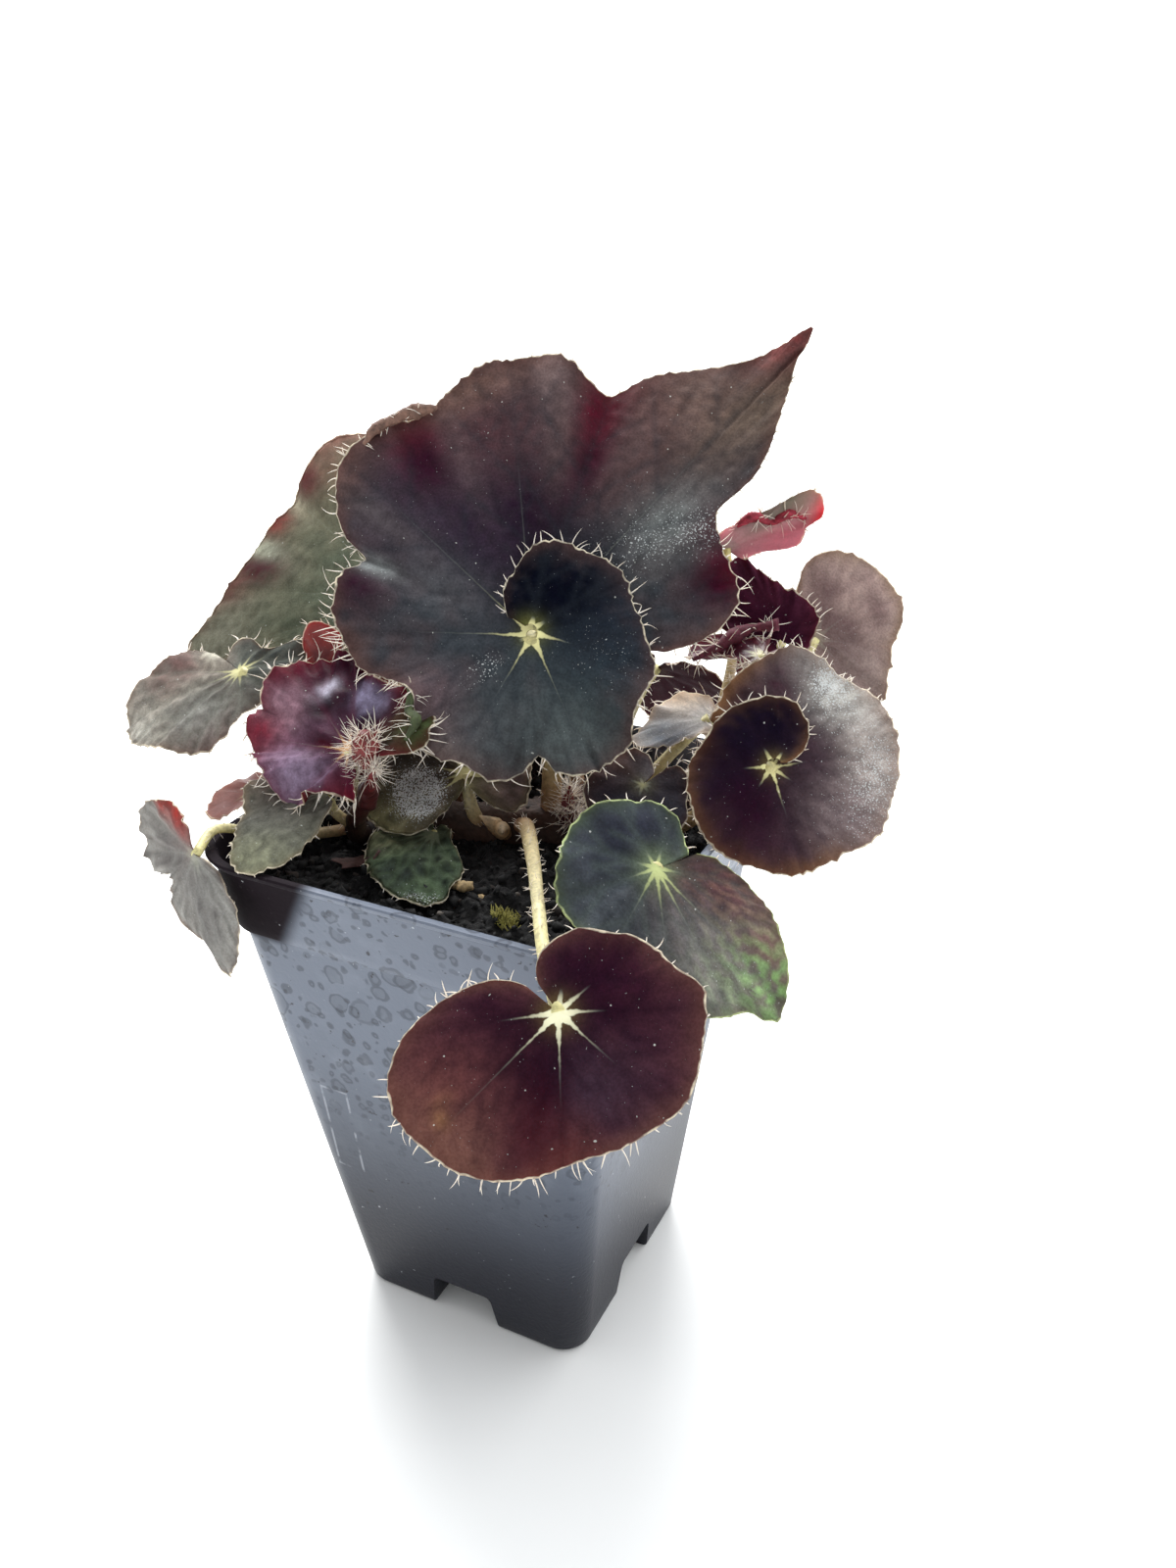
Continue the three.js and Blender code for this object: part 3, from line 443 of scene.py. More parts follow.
def pot_material():
    """Blue grey plastic, darkened towards the foot by painted shade and by a painted shadow at the
    left corner of its band, with the outlines of dried drops, dust, pale scuffs and specks of dirt."""
    material, tree = new_material("pot plastic")
    place = add_node(tree, "TexCoord").outputs["Object"]
    parts = add_node(tree, "SeparateXYZ", {0: place})
    # Painted shade: the plastic darkens towards the foot.
    rise = ramp(tree, parts.outputs["Z"], *POT_SHADE_FADE_Z)
    colour = mix(tree, rise, linear(POT_LOWER), linear(POT_UPPER))
    # A painted shadow on the band by its left corner, with a slanted edge; drops and dust keep out of it.
    slant = maths(tree, "MULTIPLY_ADD", parts.outputs["Z"], SHADE_SLANT, parts.outputs["X"])
    left = ramp(tree, slant, *(POT_AXIS[0] + edge for edge in SHADE_EDGE))
    shade = times(tree, left, ramp(tree, parts.outputs["Z"], *SHADE_Z))
    colour = mix(tree, shade, colour, linear(POT_SHADE))
    lit = maths(tree, "SUBTRACT", 1.0, shade)
    wet = times(tree, ramp(tree, parts.outputs["Z"], *WET_Z), lit)
    bend = add_node(tree, "TexNoise", {"Vector": place, "Scale": WOBBLE_SCALE, "Detail": 2.0})
    centred = add_node(tree, "VectorMath", {0: bend.outputs["Color"], 1: (-0.5, -0.5, -0.5)})
    size = {0: centred.outputs[0], 1: (DROP_WOBBLE, DROP_WOBBLE, DROP_WOBBLE)}
    moved = add_node(tree, "VectorMath", size, operation="MULTIPLY")
    bent = add_node(tree, "VectorMath", {0: place, 1: moved.outputs[0]}).outputs[0]
    for size, low, high in DROP_SIZES:
        line, disc = drops(tree, bent, size, low, high)
        colour = marked_with(tree, colour, times(tree, disc, wet), SPOT_FILL, SPOT_COLOUR)
        colour = marked_with(tree, colour, times(tree, line, wet), SPOT_LINE, SPOT_COLOUR)
    dust = times(tree, ramp(tree, noise_of(tree, 9, 6), *DUST_RANGE), wet)
    colour = marked_with(tree, colour, dust, DUST_SHARE, DUST_COLOUR)
    colour = marked_with(tree, colour, scuff_outline(tree, parts), SCUFF_SHARE, SCUFF_COLOUR)
    for size, detail, seed, (low, high), share, mark in SPECKS:
        speck = ramp(tree, noise_of(tree, size, detail, seed), low, high)
        colour = marked_with(tree, colour, speck, share, mark)
    grain = noise_of(tree, POT_GRAIN, 4, (5, 5, 5))
    inputs = {
        "Base Color": colour, "Roughness": spread(tree, lit, *POT_ROUGH),
        "Normal": bumps(tree, grain, *POT_BUMP), "Specular IOR Level": POT_SHINE,
    }
    finish_material(tree, add_node(tree, "BsdfPrincipled", inputs))
    return material


pot = add_piece("nursery_pot", *loft(outside_loops()), pot_material(), "pot", ["pot"])
room = plain_object(*loft(hollow_loops()))
cut_away(room, [plain_object(*channel_bar(POT_WALL, turn)) for turn in (0, 1)])
drains = [plain_object(*drain_bar(math.radians(90 * quarter))) for quarter in range(4)]
cut_away(pot, [room, *(plain_object(*channel_bar(0, turn)) for turn in (0, 1)), *drains])
pot.data.shade_smooth()
pot.data.set_sharp_from_angle(angle=math.radians(SHARP_ANGLE))

# Soil
# Damp dark potting mix with bark, grit and a few pale grains, poured in to a finger's width
# under the rim.

SOIL_Z = 115
SOIL_FLOOR = CHANNEL_HEIGHT + POT_WALL
SOIL_LUMPS = ((14, 0.9), (6, 0.7), (2.6, 0.45))
SOIL_GRID = 150
SOIL_GAP = 0.3
SOIL_DAMP, SOIL_DRY, DRY_RANGE = (3, 3, 5), (15, 12, 13), (0.45, 0.7)
SOIL_ROUGH, SOIL_BUMP = 0.9, 0.0012
CHIP_COUNT, CHIP_MARGIN, CHIP_JITTER = 1500, 4, 0.35
CHIP_SIZES, CHIP_HALVES = (0.3, 1.0), (0.4, 1.2)
CHIP_COLOURS = ((4, 4, 6), (9, 8, 9), (18, 14, 14), (42, 34, 29), (96, 90, 84))
CHIP_SHARES = (0.46, 0.31, 0.15, 0.06, 0.02)


def blotches(x, y, size, seed, waves=6):
    """Smooth noise of about -1 to 1: a sum of bent sine waves about size long whose headings,
    lengths and starts come from the seed, divided by the root of half their count."""
    draw = np.random.default_rng(seed)
    total = 0
    for _ in range(waves):
        heading, first, second = draw.uniform(0, 2 * math.pi, 3)
        length = size * draw.uniform(0.6, 1.7)
        along = x * math.cos(heading) + y * math.sin(heading)
        across = y * math.cos(heading) - x * math.sin(heading)
        bend = 1.4 * np.sin(2 * math.pi * across / (1.6 * length) + second)
        total = total + np.sin(2 * math.pi * along / length + first + bend)
    return total / math.sqrt(waves / 2) / 1.4


def soil_height(x, y):
    """The soil's top: its level and a sum of noises of falling size."""
    return SOIL_Z + sum(size * blotches(x, y, length, 40 + i)
                        for i, (length, size) in enumerate(SOIL_LUMPS))


def soil_mesh():
    """A square sheet with rounded corners for the top, and its border carried down the wall."""
    half, corner = band_at(SOIL_Z)
    half -= POT_WALL + SOIL_GAP
    line = np.linspace(-half, half, SOIL_GRID)
    x, y = np.meshgrid(line, line)
    over = np.maximum(np.abs(np.stack([x, y])) - (half - corner), 0)
    both = (over > 0).all(axis=0)
    shrink = np.where(both, over.max(axis=0) / np.maximum(np.hypot(*over), 1e-9), 1)
    x = np.sign(x) * (np.abs(x) - over[0] * (1 - shrink))
    y = np.sign(y) * (np.abs(y) - over[1] * (1 - shrink))
    top = np.stack([x, y, soil_height(x, y)], axis=-1).reshape(-1, 3)
    number = np.arange(SOIL_GRID * SOIL_GRID).reshape(SOIL_GRID, SOIL_GRID)
    quads = [np.stack([number[:-1, :-1], number[:-1, 1:], number[1:, 1:], number[1:, :-1]], -1)]
    border = np.concatenate([number[0, :-1], number[:-1, -1], number[-1, :0:-1], number[:0:-1, 0]])
    loops = [border]
    points = [top]
    total = len(top)
    for z in (SHOULDER_Z, 60, SOIL_FLOOR + SOIL_GAP):
        scale = (wall_at(z)[0] - POT_WALL - 2 * SOIL_GAP) / half
        points.append(np.column_stack([top[border, :2] * scale, np.full(len(border), z)]))
        loops.append(total + np.arange(len(border)))
        total += len(border)
    for upper, lower in zip(loops, loops[1:]):
        ring = [upper, lower, np.roll(lower, -1), np.roll(upper, -1)]
        quads.append(np.stack(ring, axis=-1))
    points.append([[0, 0, SOIL_FLOOR + SOIL_GAP]])
    floor = np.column_stack([np.full(len(border), total), np.roll(loops[-1], -1), loops[-1]])
    return np.concatenate(points), [np.concatenate([q.reshape(-1, 4) for q in quads]), floor]


def soil_material():
    """Near black brown, lighter where noise says it is dry, with a rough bumpy surface."""
    material, tree = new_material("potting mix")
    dry = ramp(tree, noise_of(tree, 2.2, 6), *DRY_RANGE)
    colour = mix(tree, dry, linear(SOIL_DAMP), linear(SOIL_DRY))
    grain = noise_of(tree, 1.2, 6, (2, 2, 2))
    normal = bumps(tree, grain, 1.0, SOIL_BUMP)
    inputs = {"Base Color": colour, "Roughness": SOIL_ROUGH, "Normal": normal}
    finish_material(tree, add_node(tree, "BsdfPrincipled", inputs))
    return material


def finish_thin(tree, inputs, through, light):
    """Finishes a skin that passes a share of the light, through, to its far side."""
    solid = add_node(tree, "BsdfPrincipled", inputs)
    clear = add_node(tree, "BsdfTranslucent", {"Color": light})
    parts = {0: through, 1: solid.outputs[0], 2: clear.outputs[0]}
    finish_material(tree, add_node(tree, "MixShader", parts))


def painted_material(name, roughness, through=0.0, bump_mm=0.0, bump_size=0.6):
    """A finish whose colour is the points' own attribute called skin, mottled by fine noise.
    Through is the share of light that passes to the far side."""
    material, tree = new_material(name)
    skin = add_node(tree, "Attribute", attribute_name="skin").outputs["Color"]
    grain = noise_of(tree, bump_size, 3)
    dull = add_node(tree, "HueSaturation", {"Color": skin, "Value": 0.72}).outputs[0]
    colour = mix(tree, ramp(tree, grain, 0.3, 0.6), dull, skin)
    inputs = {"Base Color": colour, "Roughness": roughness}
    if bump_mm:
        inputs["Normal"] = bumps(tree, grain, 1.0, bump_mm * MM)
    if through:
        finish_thin(tree, inputs, through, colour)
    else:
        finish_material(tree, add_node(tree, "BsdfPrincipled", inputs))
    return material


def chip_mesh(count, places, sizes, colours, draw):
    """Many small crumbs: boxes with jittered corners, turned at random. Sizes has a row of three
    half lengths for each."""
    cube = np.array([[x, y, z] for z in (-1, 1) for y in (-1, 1) for x in (-1, 1)], float)
    shape = cube + draw.uniform(-CHIP_JITTER, CHIP_JITTER, (count, 8, 3))
    shape *= sizes[:, None, :]
    turns = draw.normal(size=(count, 4)) * [1.0, 0.35, 0.35, 1.0]
    w, x, y, z = (turns / np.linalg.norm(turns, axis=1)[:, None]).T
    turn = np.stack([
        1 - 2 * (y * y + z * z), 2 * (x * y - z * w), 2 * (x * z + y * w),
        2 * (x * y + z * w), 1 - 2 * (x * x + z * z), 2 * (y * z - x * w),
        2 * (x * z - y * w), 2 * (y * z + x * w), 1 - 2 * (x * x + y * y),
    ], axis=-1).reshape(count, 3, 3)
    points = np.einsum("nij,nkj->nki", turn, shape) + places[:, None, :]
    sides = [(0, 2, 3, 1), (4, 5, 7, 6), (0, 1, 5, 4), (2, 6, 7, 3), (0, 4, 6, 2), (1, 3, 7, 5)]
    faces = (np.array(sides)[None] + 8 * np.arange(count)[:, None, None]).reshape(-1, 4)
    skin = np.repeat(np.column_stack([colours, np.ones(count)]), 8, axis=0)
    return points.reshape(-1, 3), [faces], {"skin": skin}


def scatter_chips():
    """Crumbs strewn over the soil's top, colours drawn by their shares."""
    draw = np.random.default_rng(11)
    half = band_at(SOIL_Z)[0] - CHIP_MARGIN
    places = draw.uniform(-half, half, (CHIP_COUNT, 2))
    sizes = draw.uniform(*CHIP_SIZES, (CHIP_COUNT, 1)) ** 1.4
    sizes = sizes * draw.uniform(*CHIP_HALVES, (CHIP_COUNT, 3))
    height = soil_height(*places.T) + 0.3 * sizes[:, 2]
    kinds = draw.choice(len(CHIP_COLOURS), CHIP_COUNT, p=CHIP_SHARES)
    sizes[kinds == len(CHIP_COLOURS) - 1] *= 0.6
    colours = linear(CHIP_COLOURS)[kinds] * draw.uniform(0.7, 1.3, (CHIP_COUNT, 1))
    return chip_mesh(CHIP_COUNT, np.column_stack([places, height]), sizes, colours, draw)


add_piece("potting_mix", *soil_mesh(), soil_material(), "soil", ["soil"])
points, faces, colours = scatter_chips()
add_piece("soil_crumbs", points, faces, painted_material("crumbs", 0.85), "soil", (), colours)

# Stems
# The creeping rhizome lies half sunk in the soil. Short shoots rise from it with clusters of red
# buds, all set with long pale hairs, and papery pointed scales stand at the stalks' feet.

STEM_SIDES, STEM_RINGS = 20, 26
HAIR_RINGS = 5
HAIR_COLOUR, HAIR_LIGHT, HAIR_THROUGH = (252, 248, 240), (244, 228, 206), 0.4
SHOOT_HAIR_WIDTH = 0.19


def curve_through(route, count):
    """Points evenly along a smooth curve through the route: cubic pieces whose speeds follow
    from the root of the distances between the route's points."""
    route = np.array(route, float)
    roots = np.sqrt(np.linalg.norm(np.diff(route, axis=0), axis=1))
    knots = np.concatenate([[0], np.cumsum(roots)])
    slopes = np.diff(route, axis=0) / np.diff(knots)[:, None]
    inner = (slopes[:-1] * np.diff(knots)[1:, None] + slopes[1:] * np.diff(knots)[:-1, None])
    inner /= (np.diff(knots)[1:] + np.diff(knots)[:-1])[:, None]
    speeds = np.concatenate([slopes[:1], inner, slopes[-1:]])
    fine = np.linspace(0, knots[-1], 200)
    i = np.clip(np.searchsorted(knots, fine) - 1, 0, len(route) - 2)
    width = np.diff(knots)[i][:, None]
    t = (fine - knots[i])[:, None] / width
    start, end = route[i], route[i + 1]
    m0, m1 = speeds[i] * width, speeds[i + 1] * width
    path = start + t * m0 + t**2 * (3 * (end - start) - 2 * m0 - m1)
    path += t**3 * (2 * (start - end) + m0 + m1)
    length = np.concatenate([[0], np.cumsum(np.linalg.norm(np.diff(path, axis=0), axis=1))])
    even = np.linspace(0, length[-1], count)
    return np.column_stack([np.interp(even, length, path[:, k]) for k in range(3)])


def tube(route, radii, count, sides=STEM_SIDES, knobs=0.0, seed=0):
    """A round bar along a route. Radii are spread along it, knobs is the size of its lumps.
    Returns points, faces, and each point's share of the way along."""
    path = curve_through(route, count)
    ahead = np.gradient(path, axis=0)
    ahead /= np.linalg.norm(ahead, axis=1)[:, None]
    side = np.cross(ahead[0], [0.3, 0.2, 0.93])
    rows = []
    for direction in ahead:
        side = side - direction * (side @ direction)
        side /= np.linalg.norm(side)
        rows.append(side)
    first = np.array(rows)
    second = np.cross(ahead, first)
    turns = np.linspace(0, 2 * math.pi, sides, endpoint=False)
    along = np.linspace(0, 1, count)
    radius = np.interp(along, np.linspace(0, 1, len(radii)), radii)[:, None]
    reach = along[:, None] * np.linalg.norm(np.diff(path, axis=0), axis=1).sum()
    lumps = blotches(reach, radius * turns, 4.5, seed)
    lumps = lumps + 0.6 * blotches(reach, radius * turns, 2, seed + 1)
    radius = radius * (1 + knobs * lumps)
    spoke = np.cos(turns)[None, :, None] * first[:, None]
    spoke = spoke + np.sin(turns)[None, :, None] * second[:, None]
    points, faces = loft(list(path[:, None] + radius[:, :, None] * spoke))
    share = np.concatenate([np.repeat(along, sides), [0, 1]])
    return points, faces, share


def joined(parts):
    """Several (points, faces, values) as one, with the corner numbers moved on."""
    shift = np.cumsum([0] + [len(part[0]) for part in parts])
    points = np.concatenate([part[0] for part in parts])
    quads = np.concatenate([part[1][0] + move for part, move in zip(parts, shift)])
    fans = np.concatenate([part[1][1] + move for part, move in zip(parts, shift)])
    return points, [quads, fans], np.concatenate([part[2] for part in parts])


def hair_mesh(roots, headings, lengths, widths, draw, curl=0.3):
    """Tapered three sided hairs. Each bends to one side by up to curl times its length, by the
    square of the way along, and narrows to a point."""
    count = len(roots)
    headings = headings / np.linalg.norm(headings, axis=1)[:, None]
    first = np.cross(headings, draw.normal(size=(count, 3)))
    first /= np.linalg.norm(first, axis=1)[:, None]
    second = np.cross(headings, first)
    share = (np.arange(HAIR_RINGS) / HAIR_RINGS)[None, :, None, None]
    turns = np.array([0, 2, 4]) * math.pi / 3
    spoke = np.cos(turns)[None, None, :, None] * first[:, None, None]
    spoke = spoke + np.sin(turns)[None, None, :, None] * second[:, None, None]
    length = np.asarray(lengths)[:, None, None, None]
    bend = (first * draw.uniform(-1, 1, (count, 1)))[:, None, None] * curl
    width = np.asarray(widths)[:, None, None, None] / 2 * (1 - 0.7 * share)
    rings = roots[:, None, None] + length * (share * headings[:, None, None] + bend * share**2)
    rings = rings + width * spoke
    tips = roots + length[:, 0, 0] * (headings + bend[:, 0, 0])
    points = np.concatenate([rings.reshape(count, -1, 3), tips[:, None]], axis=1)
    each = 3 * HAIR_RINGS + 1
    quads = [(3 * i + a, 3 * i + b, 3 * i + 3 + b, 3 * i + 3 + a)
             for i in range(HAIR_RINGS - 1) for a, b in ((0, 1), (1, 2), (2, 0))]
    last = 3 * (HAIR_RINGS - 1)
    fans = [(last, last + 1, each - 1), (last + 1, last + 2, each - 1), (last + 2, last, each - 1)]
    fans.append((0, 2, 1))
    start = each * np.arange(count)[:, None, None]
    faces = [(np.array(quads) + start).reshape(-1, 4), (np.array(fans) + start).reshape(-1, 3)]
    return points.reshape(-1, 3), faces


def hairs_on(points, normals, count, length, width, draw, lean=0.5):
    """Hairs rooted at seeded picks of the points, standing along their normals and leaning."""
    pick = draw.integers(0, len(points), count)
    headings = normals[pick] + lean * draw.normal(size=(count, 3))
    lengths = length * draw.uniform(0.55, 1.15, count)
    return hair_mesh(points[pick], headings, lengths, width * draw.uniform(0.8, 1.2, count), draw)


def hair_material():
    """Pale cream hair that lets light through."""
    material, tree = new_material("pale hair")
    inputs = {"Base Color": linear(HAIR_COLOUR), "Roughness": 0.45}
    finish_thin(tree, inputs, HAIR_THROUGH, linear(HAIR_LIGHT))
    return material


def shaded(share, colours, seed, points, strength=0.25):
    """A colour for each point: the given ones spread along the way, and blotched."""
    stops = np.linspace(0, 1, len(colours))
    skin = np.column_stack([np.interp(share, stops, linear(colours)[:, k]) for k in range(3)])
    noise = blotches(points[:, 0] + points[:, 2], points[:, 1] - points[:, 2], 4, seed)
    skin = skin * (1 + strength * noise[:, None])
    return {"skin": np.column_stack([skin, np.ones(len(skin))])}


RHIZOME = [
    ([(-41, -7, 116.5), (-16, 2, 117), (0, 8, 117.5), (16, 12, 117), (35, 14, 117.5)],
     (4.6, 5, 5, 5, 4.6)),
    ([(0, 8, 117), (6, 20, 117), (10, 34, 117.5)], (5.4, 5, 4)),
]
RHIZOME_COLOURS = ((46, 34, 28), (70, 50, 40), (50, 38, 32))
BUD_COLOURS = ((44, 34, 30), (58, 40, 34), (78, 34, 34), (108, 40, 42), (128, 50, 50))
SHOOT_HAIRS = {
    "shoot_right": (260, 122, 4.2), "shoot_left": (300, 140, 5), "bud_front": (240, 121, 4.2),
}
SHOOTS = {
    "shoot_right": [
        ([(31, 18, 117), (34, 26, 127), (38, 35, 138), (42, 42.5, 147)], (3.2, 3.1, 2.8, 2.2)),
        ([(41, 41.5, 144.5), (38.5, 43.3, 150), (37.5, 44.5, 155)], (2.0, 1.9, 0.2)),
    ],
    "shoot_left": [
        ([(-28, -2, 117), (-30.6, -12.6, 118.2), (-27.4, -18, 125), (-22, -20.5, 133)],
         (2.4, 2.4, 2.2, 1.8)),
        ([(-22, -20.5, 131), (-21, -21, 136), (-20.8, -21.5, 139)], (2, 2.3, 1.2)),
        ([(-21, -21, 136), (-18.5, -23, 143), (-17, -21.5, 150)], (1.6, 2.1, 1.3, 0.15)),
        ([(-21, -21, 136), (-18, -24, 142.5), (-20, -25.8, 149)], (1.4, 1.8, 1.1, 0.15)),
        ([(-21, -21, 135), (-17.5, -25, 139), (-14.5, -26.5, 144)], (1.4, 1.8, 1.0, 0.15)),
        ([(-20.4, -21.8, 141), (-19, -23, 145.5), (-18.6, -23.4, 150)], (1, 2.8, 3, 1.2)),
    ],
    "bud_front": [
        ([(11, 9, 117), (11.5, 7.5, 123), (12, 8, 130)], (2.0, 2.3, 1.6, 0.15)),
        ([(11, 9, 117), (13, 6, 121.5), (15, 5, 126)], (1.6, 2.0, 1.2, 0.15)),
    ],
}
SCALES = [
    ([(-3, 3.5, 117), (-4, 0.5, 120.5), (-6, -1.5, 123)], (2, 1.8, 0.15)),
    ([(-3, 3.5, 117), (-1, -0.5, 120), (1, -3.5, 121.2)], (2, 1.8, 0.15)),
]
SCALE_COLOURS = ((140, 100, 70), (206, 176, 134), (228, 206, 172))

hair_finish = hair_material()
stem_finish = painted_material("stem skin", 0.5, 0.12, 0.15)


def colour_share(points, share, slot):
    """Shoots take their colours by height, and other stems by the way along."""
    if slot != "shoot":
        return share
    return (points[:, 2] - points[:, 2].min()) / np.ptp(points[:, 2])


def point_normals(piece):
    """The piece's outward direction at each of its points."""
    normals = np.zeros(3 * len(piece.data.vertices), np.float32)
    piece.data.vertices.foreach_get("normal", normals)
    return normals.reshape(-1, 3)


def add_stem(name, limbs, colours, slot, seed, knobs, material):
    """A joined set of bars under one name, and the points and normals where hairs may stand."""
    parts = []
    for i, (route, radii) in enumerate(limbs):
        parts.append(tube(route, radii, STEM_RINGS, STEM_SIDES, knobs, seed + i))
    points, faces, share = joined(parts)
    skin = shaded(colour_share(points, share, slot), colours, seed, points)
    piece = add_piece(name + "_skin", points, faces, material, slot, [name], skin)
    return points, point_normals(piece)


bark_finish = painted_material("bark", 0.8, 0, 0.5, 1.2)
add_stem("rhizome", RHIZOME, RHIZOME_COLOURS, "rhizome", 60, 0.09, bark_finish)
scale_finish = painted_material("papery scale", 0.6, 0.4, 0.1)
add_stem("stipules", SCALES, SCALE_COLOURS, "bud_scale", 70, 0.05, scale_finish)
draw = np.random.default_rng(21)
for i, (name, limbs) in enumerate(SHOOTS.items()):
    seed = 80 + 10 * i
    points, normals = add_stem(name, limbs, BUD_COLOURS, "shoot", seed, 0.06, stem_finish)
    count, low, length = SHOOT_HAIRS[name]
    high = points[:, 2] > low
    hairs = hairs_on(points[high], normals[high], count, length, SHOOT_HAIR_WIDTH, draw)
    add_piece(name + "_hairs", *hairs, hair_finish, "stalk")

# Litter
# Three things lie on the soil: a curled scrap of a dead leaf, a tan pellet of feed and a small
# tuft of yellow green moss.

SCRAP = ((-24.5, -21.5), (5.2, 2.6, 0.35), (0.5, 0.25), 1.6)
PELLETS = (((1.2, -21), (2.4, 1.3, 1.2), (0.3, 0), 0), ((4.4, -20.2), (1.5, 1.1, 1), (1.2, 0), 0))
MOSS_PLACE, MOSS_SPREAD, MOSS_COUNT = (14.5, -26.5), 2.4, 160
MOSS_LENGTH, MOSS_WIDTH = (1.2, 2.6), 0.5
SCRAP_COLOUR, PELLET_COLOUR, MOSS_COLOUR = (70, 40, 34), (168, 144, 104), (176, 170, 96)


def pebble(place, halves, turns, bend, seed):
    """A lumpy ellipsoid on the soil: rings of a sphere stretched by three half lengths, bowed
    upwards by bend at its ends, and turned about z and then tipped."""
    turn, tip = turns
    rings = []
    for rise in np.radians(np.linspace(-84, 84, 11)):
        around = np.linspace(0, 2 * math.pi, 20, endpoint=False)
        ring = np.stack([np.cos(around) * math.cos(rise), np.sin(around) * math.cos(rise),
                         np.full(20, math.sin(rise))], axis=1)
        rings.append(ring * halves)
    points, faces = loft(rings)
    points = points * (1 + 0.16 * blotches(points[:, 0], points[:, 1], 2.2, seed))[:, None]
    points[:, 2] += bend * (points[:, 0] / halves[0]) ** 2
    x = points[:, 0] * math.cos(tip) - points[:, 2] * math.sin(tip)
    z = points[:, 0] * math.sin(tip) + points[:, 2] * math.cos(tip)
    moved = np.stack([x * math.cos(turn) - points[:, 1] * math.sin(turn),
                      x * math.sin(turn) + points[:, 1] * math.cos(turn), z], axis=1)
    ground = float(soil_height(*np.array(place, float)))
    moved += [*place, ground - moved[:, 2].min() - 0.2]
    return moved, faces, np.zeros(len(moved))


def plain_skin(points, colour, seed):
    """One colour for all points, blotched."""
    noise = 1 + 0.3 * blotches(points[:, 0], points[:, 1], 1.5, seed)
    return {"skin": np.column_stack([linear(colour) * noise[:, None], np.ones(len(points))])}


litter_finish = painted_material("dry litter", 0.75, 0, 0.2)
points, faces, _ = pebble(*SCRAP, 90)
add_piece("leaf_scrap", points, faces, litter_finish, "soil", (), plain_skin(points, SCRAP_COLOUR, 1))
points, faces, _ = joined([pebble(*pellet, 92 + i) for i, pellet in enumerate(PELLETS)])
add_piece("pellets", points, faces, litter_finish, "soil", (), plain_skin(points, PELLET_COLOUR, 2))
draw = np.random.default_rng(31)
places = draw.normal(size=(MOSS_COUNT, 2)) * MOSS_SPREAD / 2 + MOSS_PLACE
roots = np.column_stack([places, soil_height(*places.T) - 0.2])
headings = draw.normal(size=(MOSS_COUNT, 3)) * 0.5 + [0, 0, 1]
lengths = draw.uniform(*MOSS_LENGTH, MOSS_COUNT)
points, faces = hair_mesh(roots, headings, lengths, np.full(MOSS_COUNT, MOSS_WIDTH), draw)
moss_finish = painted_material("moss", 0.8, 0.3)
add_piece("moss_tuft", points, faces, moss_finish, "soil", (), plain_skin(points, MOSS_COLOUR, 3))

# Leaves
# Lopsided velvety blades, each on its own juicy stalk. A blade is a thin closed sheet in polar
# form about the stalk's joint. Main veins run straight out from there and turn pale beside it;
# the margin is toothed, edged by a thin pale line, and set with long pale hairs.

BLADE = 0.42
EDGE_BLADE = 0.16
CREASE = 2
SPIRAL_BORE = 1.3
GRID_STEP = 0.95
EDGE_SAMPLES, TURN_LENGTH = 4000, 0.35
TOOTH, TOOTH_TALL, TOOTH_POINT, TOOTH_SHARE = (1.9, 4.2), (0.1, 1.3), 1.7, 0.05
BAY_SIZE, BAY_LENGTH = 0.35, 17
RING_FIRST, RING_GROWTH = 0.3, 0.1
RIM_LAST, RIM_RINGS = 1.6, (0.9, 0.4, 0)
SIDE_TURN, SIDE_FROM, SIDE_UNTIL, SIDE_LEAST = (34, 48), 0.2, 0.8, 9
VEIN_HALF, STAR_HALF, STAR_FADE = 0.1, 1.5, 1.7
RAY_FAR, RAY_NEAR = 0.2, 7.5
LINE_WIDTH = 0.26
STALK_SHADE = 2.2
MARGIN_HAIR_WIDTH = (0.26, 0.4)
SKIN_DEPTH = 0.85
# A faint painted bluish sheen that is added to every leaf's skin colour.
PAINTED_BLUE_SHEEN = (0.001, 0.0018, 0.0045)
RIM_GLOW, FURROW_WIDTH, HALO_SHARE = 0.2, 0.9, 0.4
# Frost shows as pale specks of this colour; it is partly real frosting and partly painted sheen.
FROST_AND_SHEEN_COLOUR, DOT_COLOUR = (208, 212, 212), (210, 212, 205)
FAR_RAY_COLOUR, EDGE_SHARE = (160, 168, 160), 0.85
GRAIN_RANGE, GRAIN_DARK, LEAF_BUMP = (0.38, 0.6), 0.8, (0.5, 0.0002)
FROST_AND_SHEEN_DEPTH, FROST_AND_SHEEN_EDGE, FROST_AND_SHEEN_SHARE = (0.76, 0.4), (0, 0.12), 0.8
DOT_RANGE, DOT_SHARE = (0.855, 0.885), 0.7
RAY_RAGGED, RAY_EDGE, RAY_NEAR_PALE = (-0.3, 0.3, 0.3, 0.7), (-0.16, 0.16), (0.05, 0.4)
LINE_WANDER, LINE_EDGE, LINE_BROKEN = (0.3, -0.25, 0.25, 0.75), (0.18, -0.12), (0.3, 1, 0.35, 0.6)
LINE_LIGHT = 0.4
STALK_COLOURS = ((150, 104, 78), (200, 182, 136), (222, 212, 168), (232, 224, 160))
STALK_HAIR, STALK_HAIR_WIDTH, STALK_HAIRS_A_MM, STALK_BARE_Z = 1.6, 0.18, 1.6, 119
STALK_UNDER, STALK_SWELL, STALK_STEP, LIFT_ANGLE = 0.1, 1.05, 1.5, 200
STALK_SIDES, STALK_KNOBS, STALK_MOTTLE = 14, 0.02, 0.12
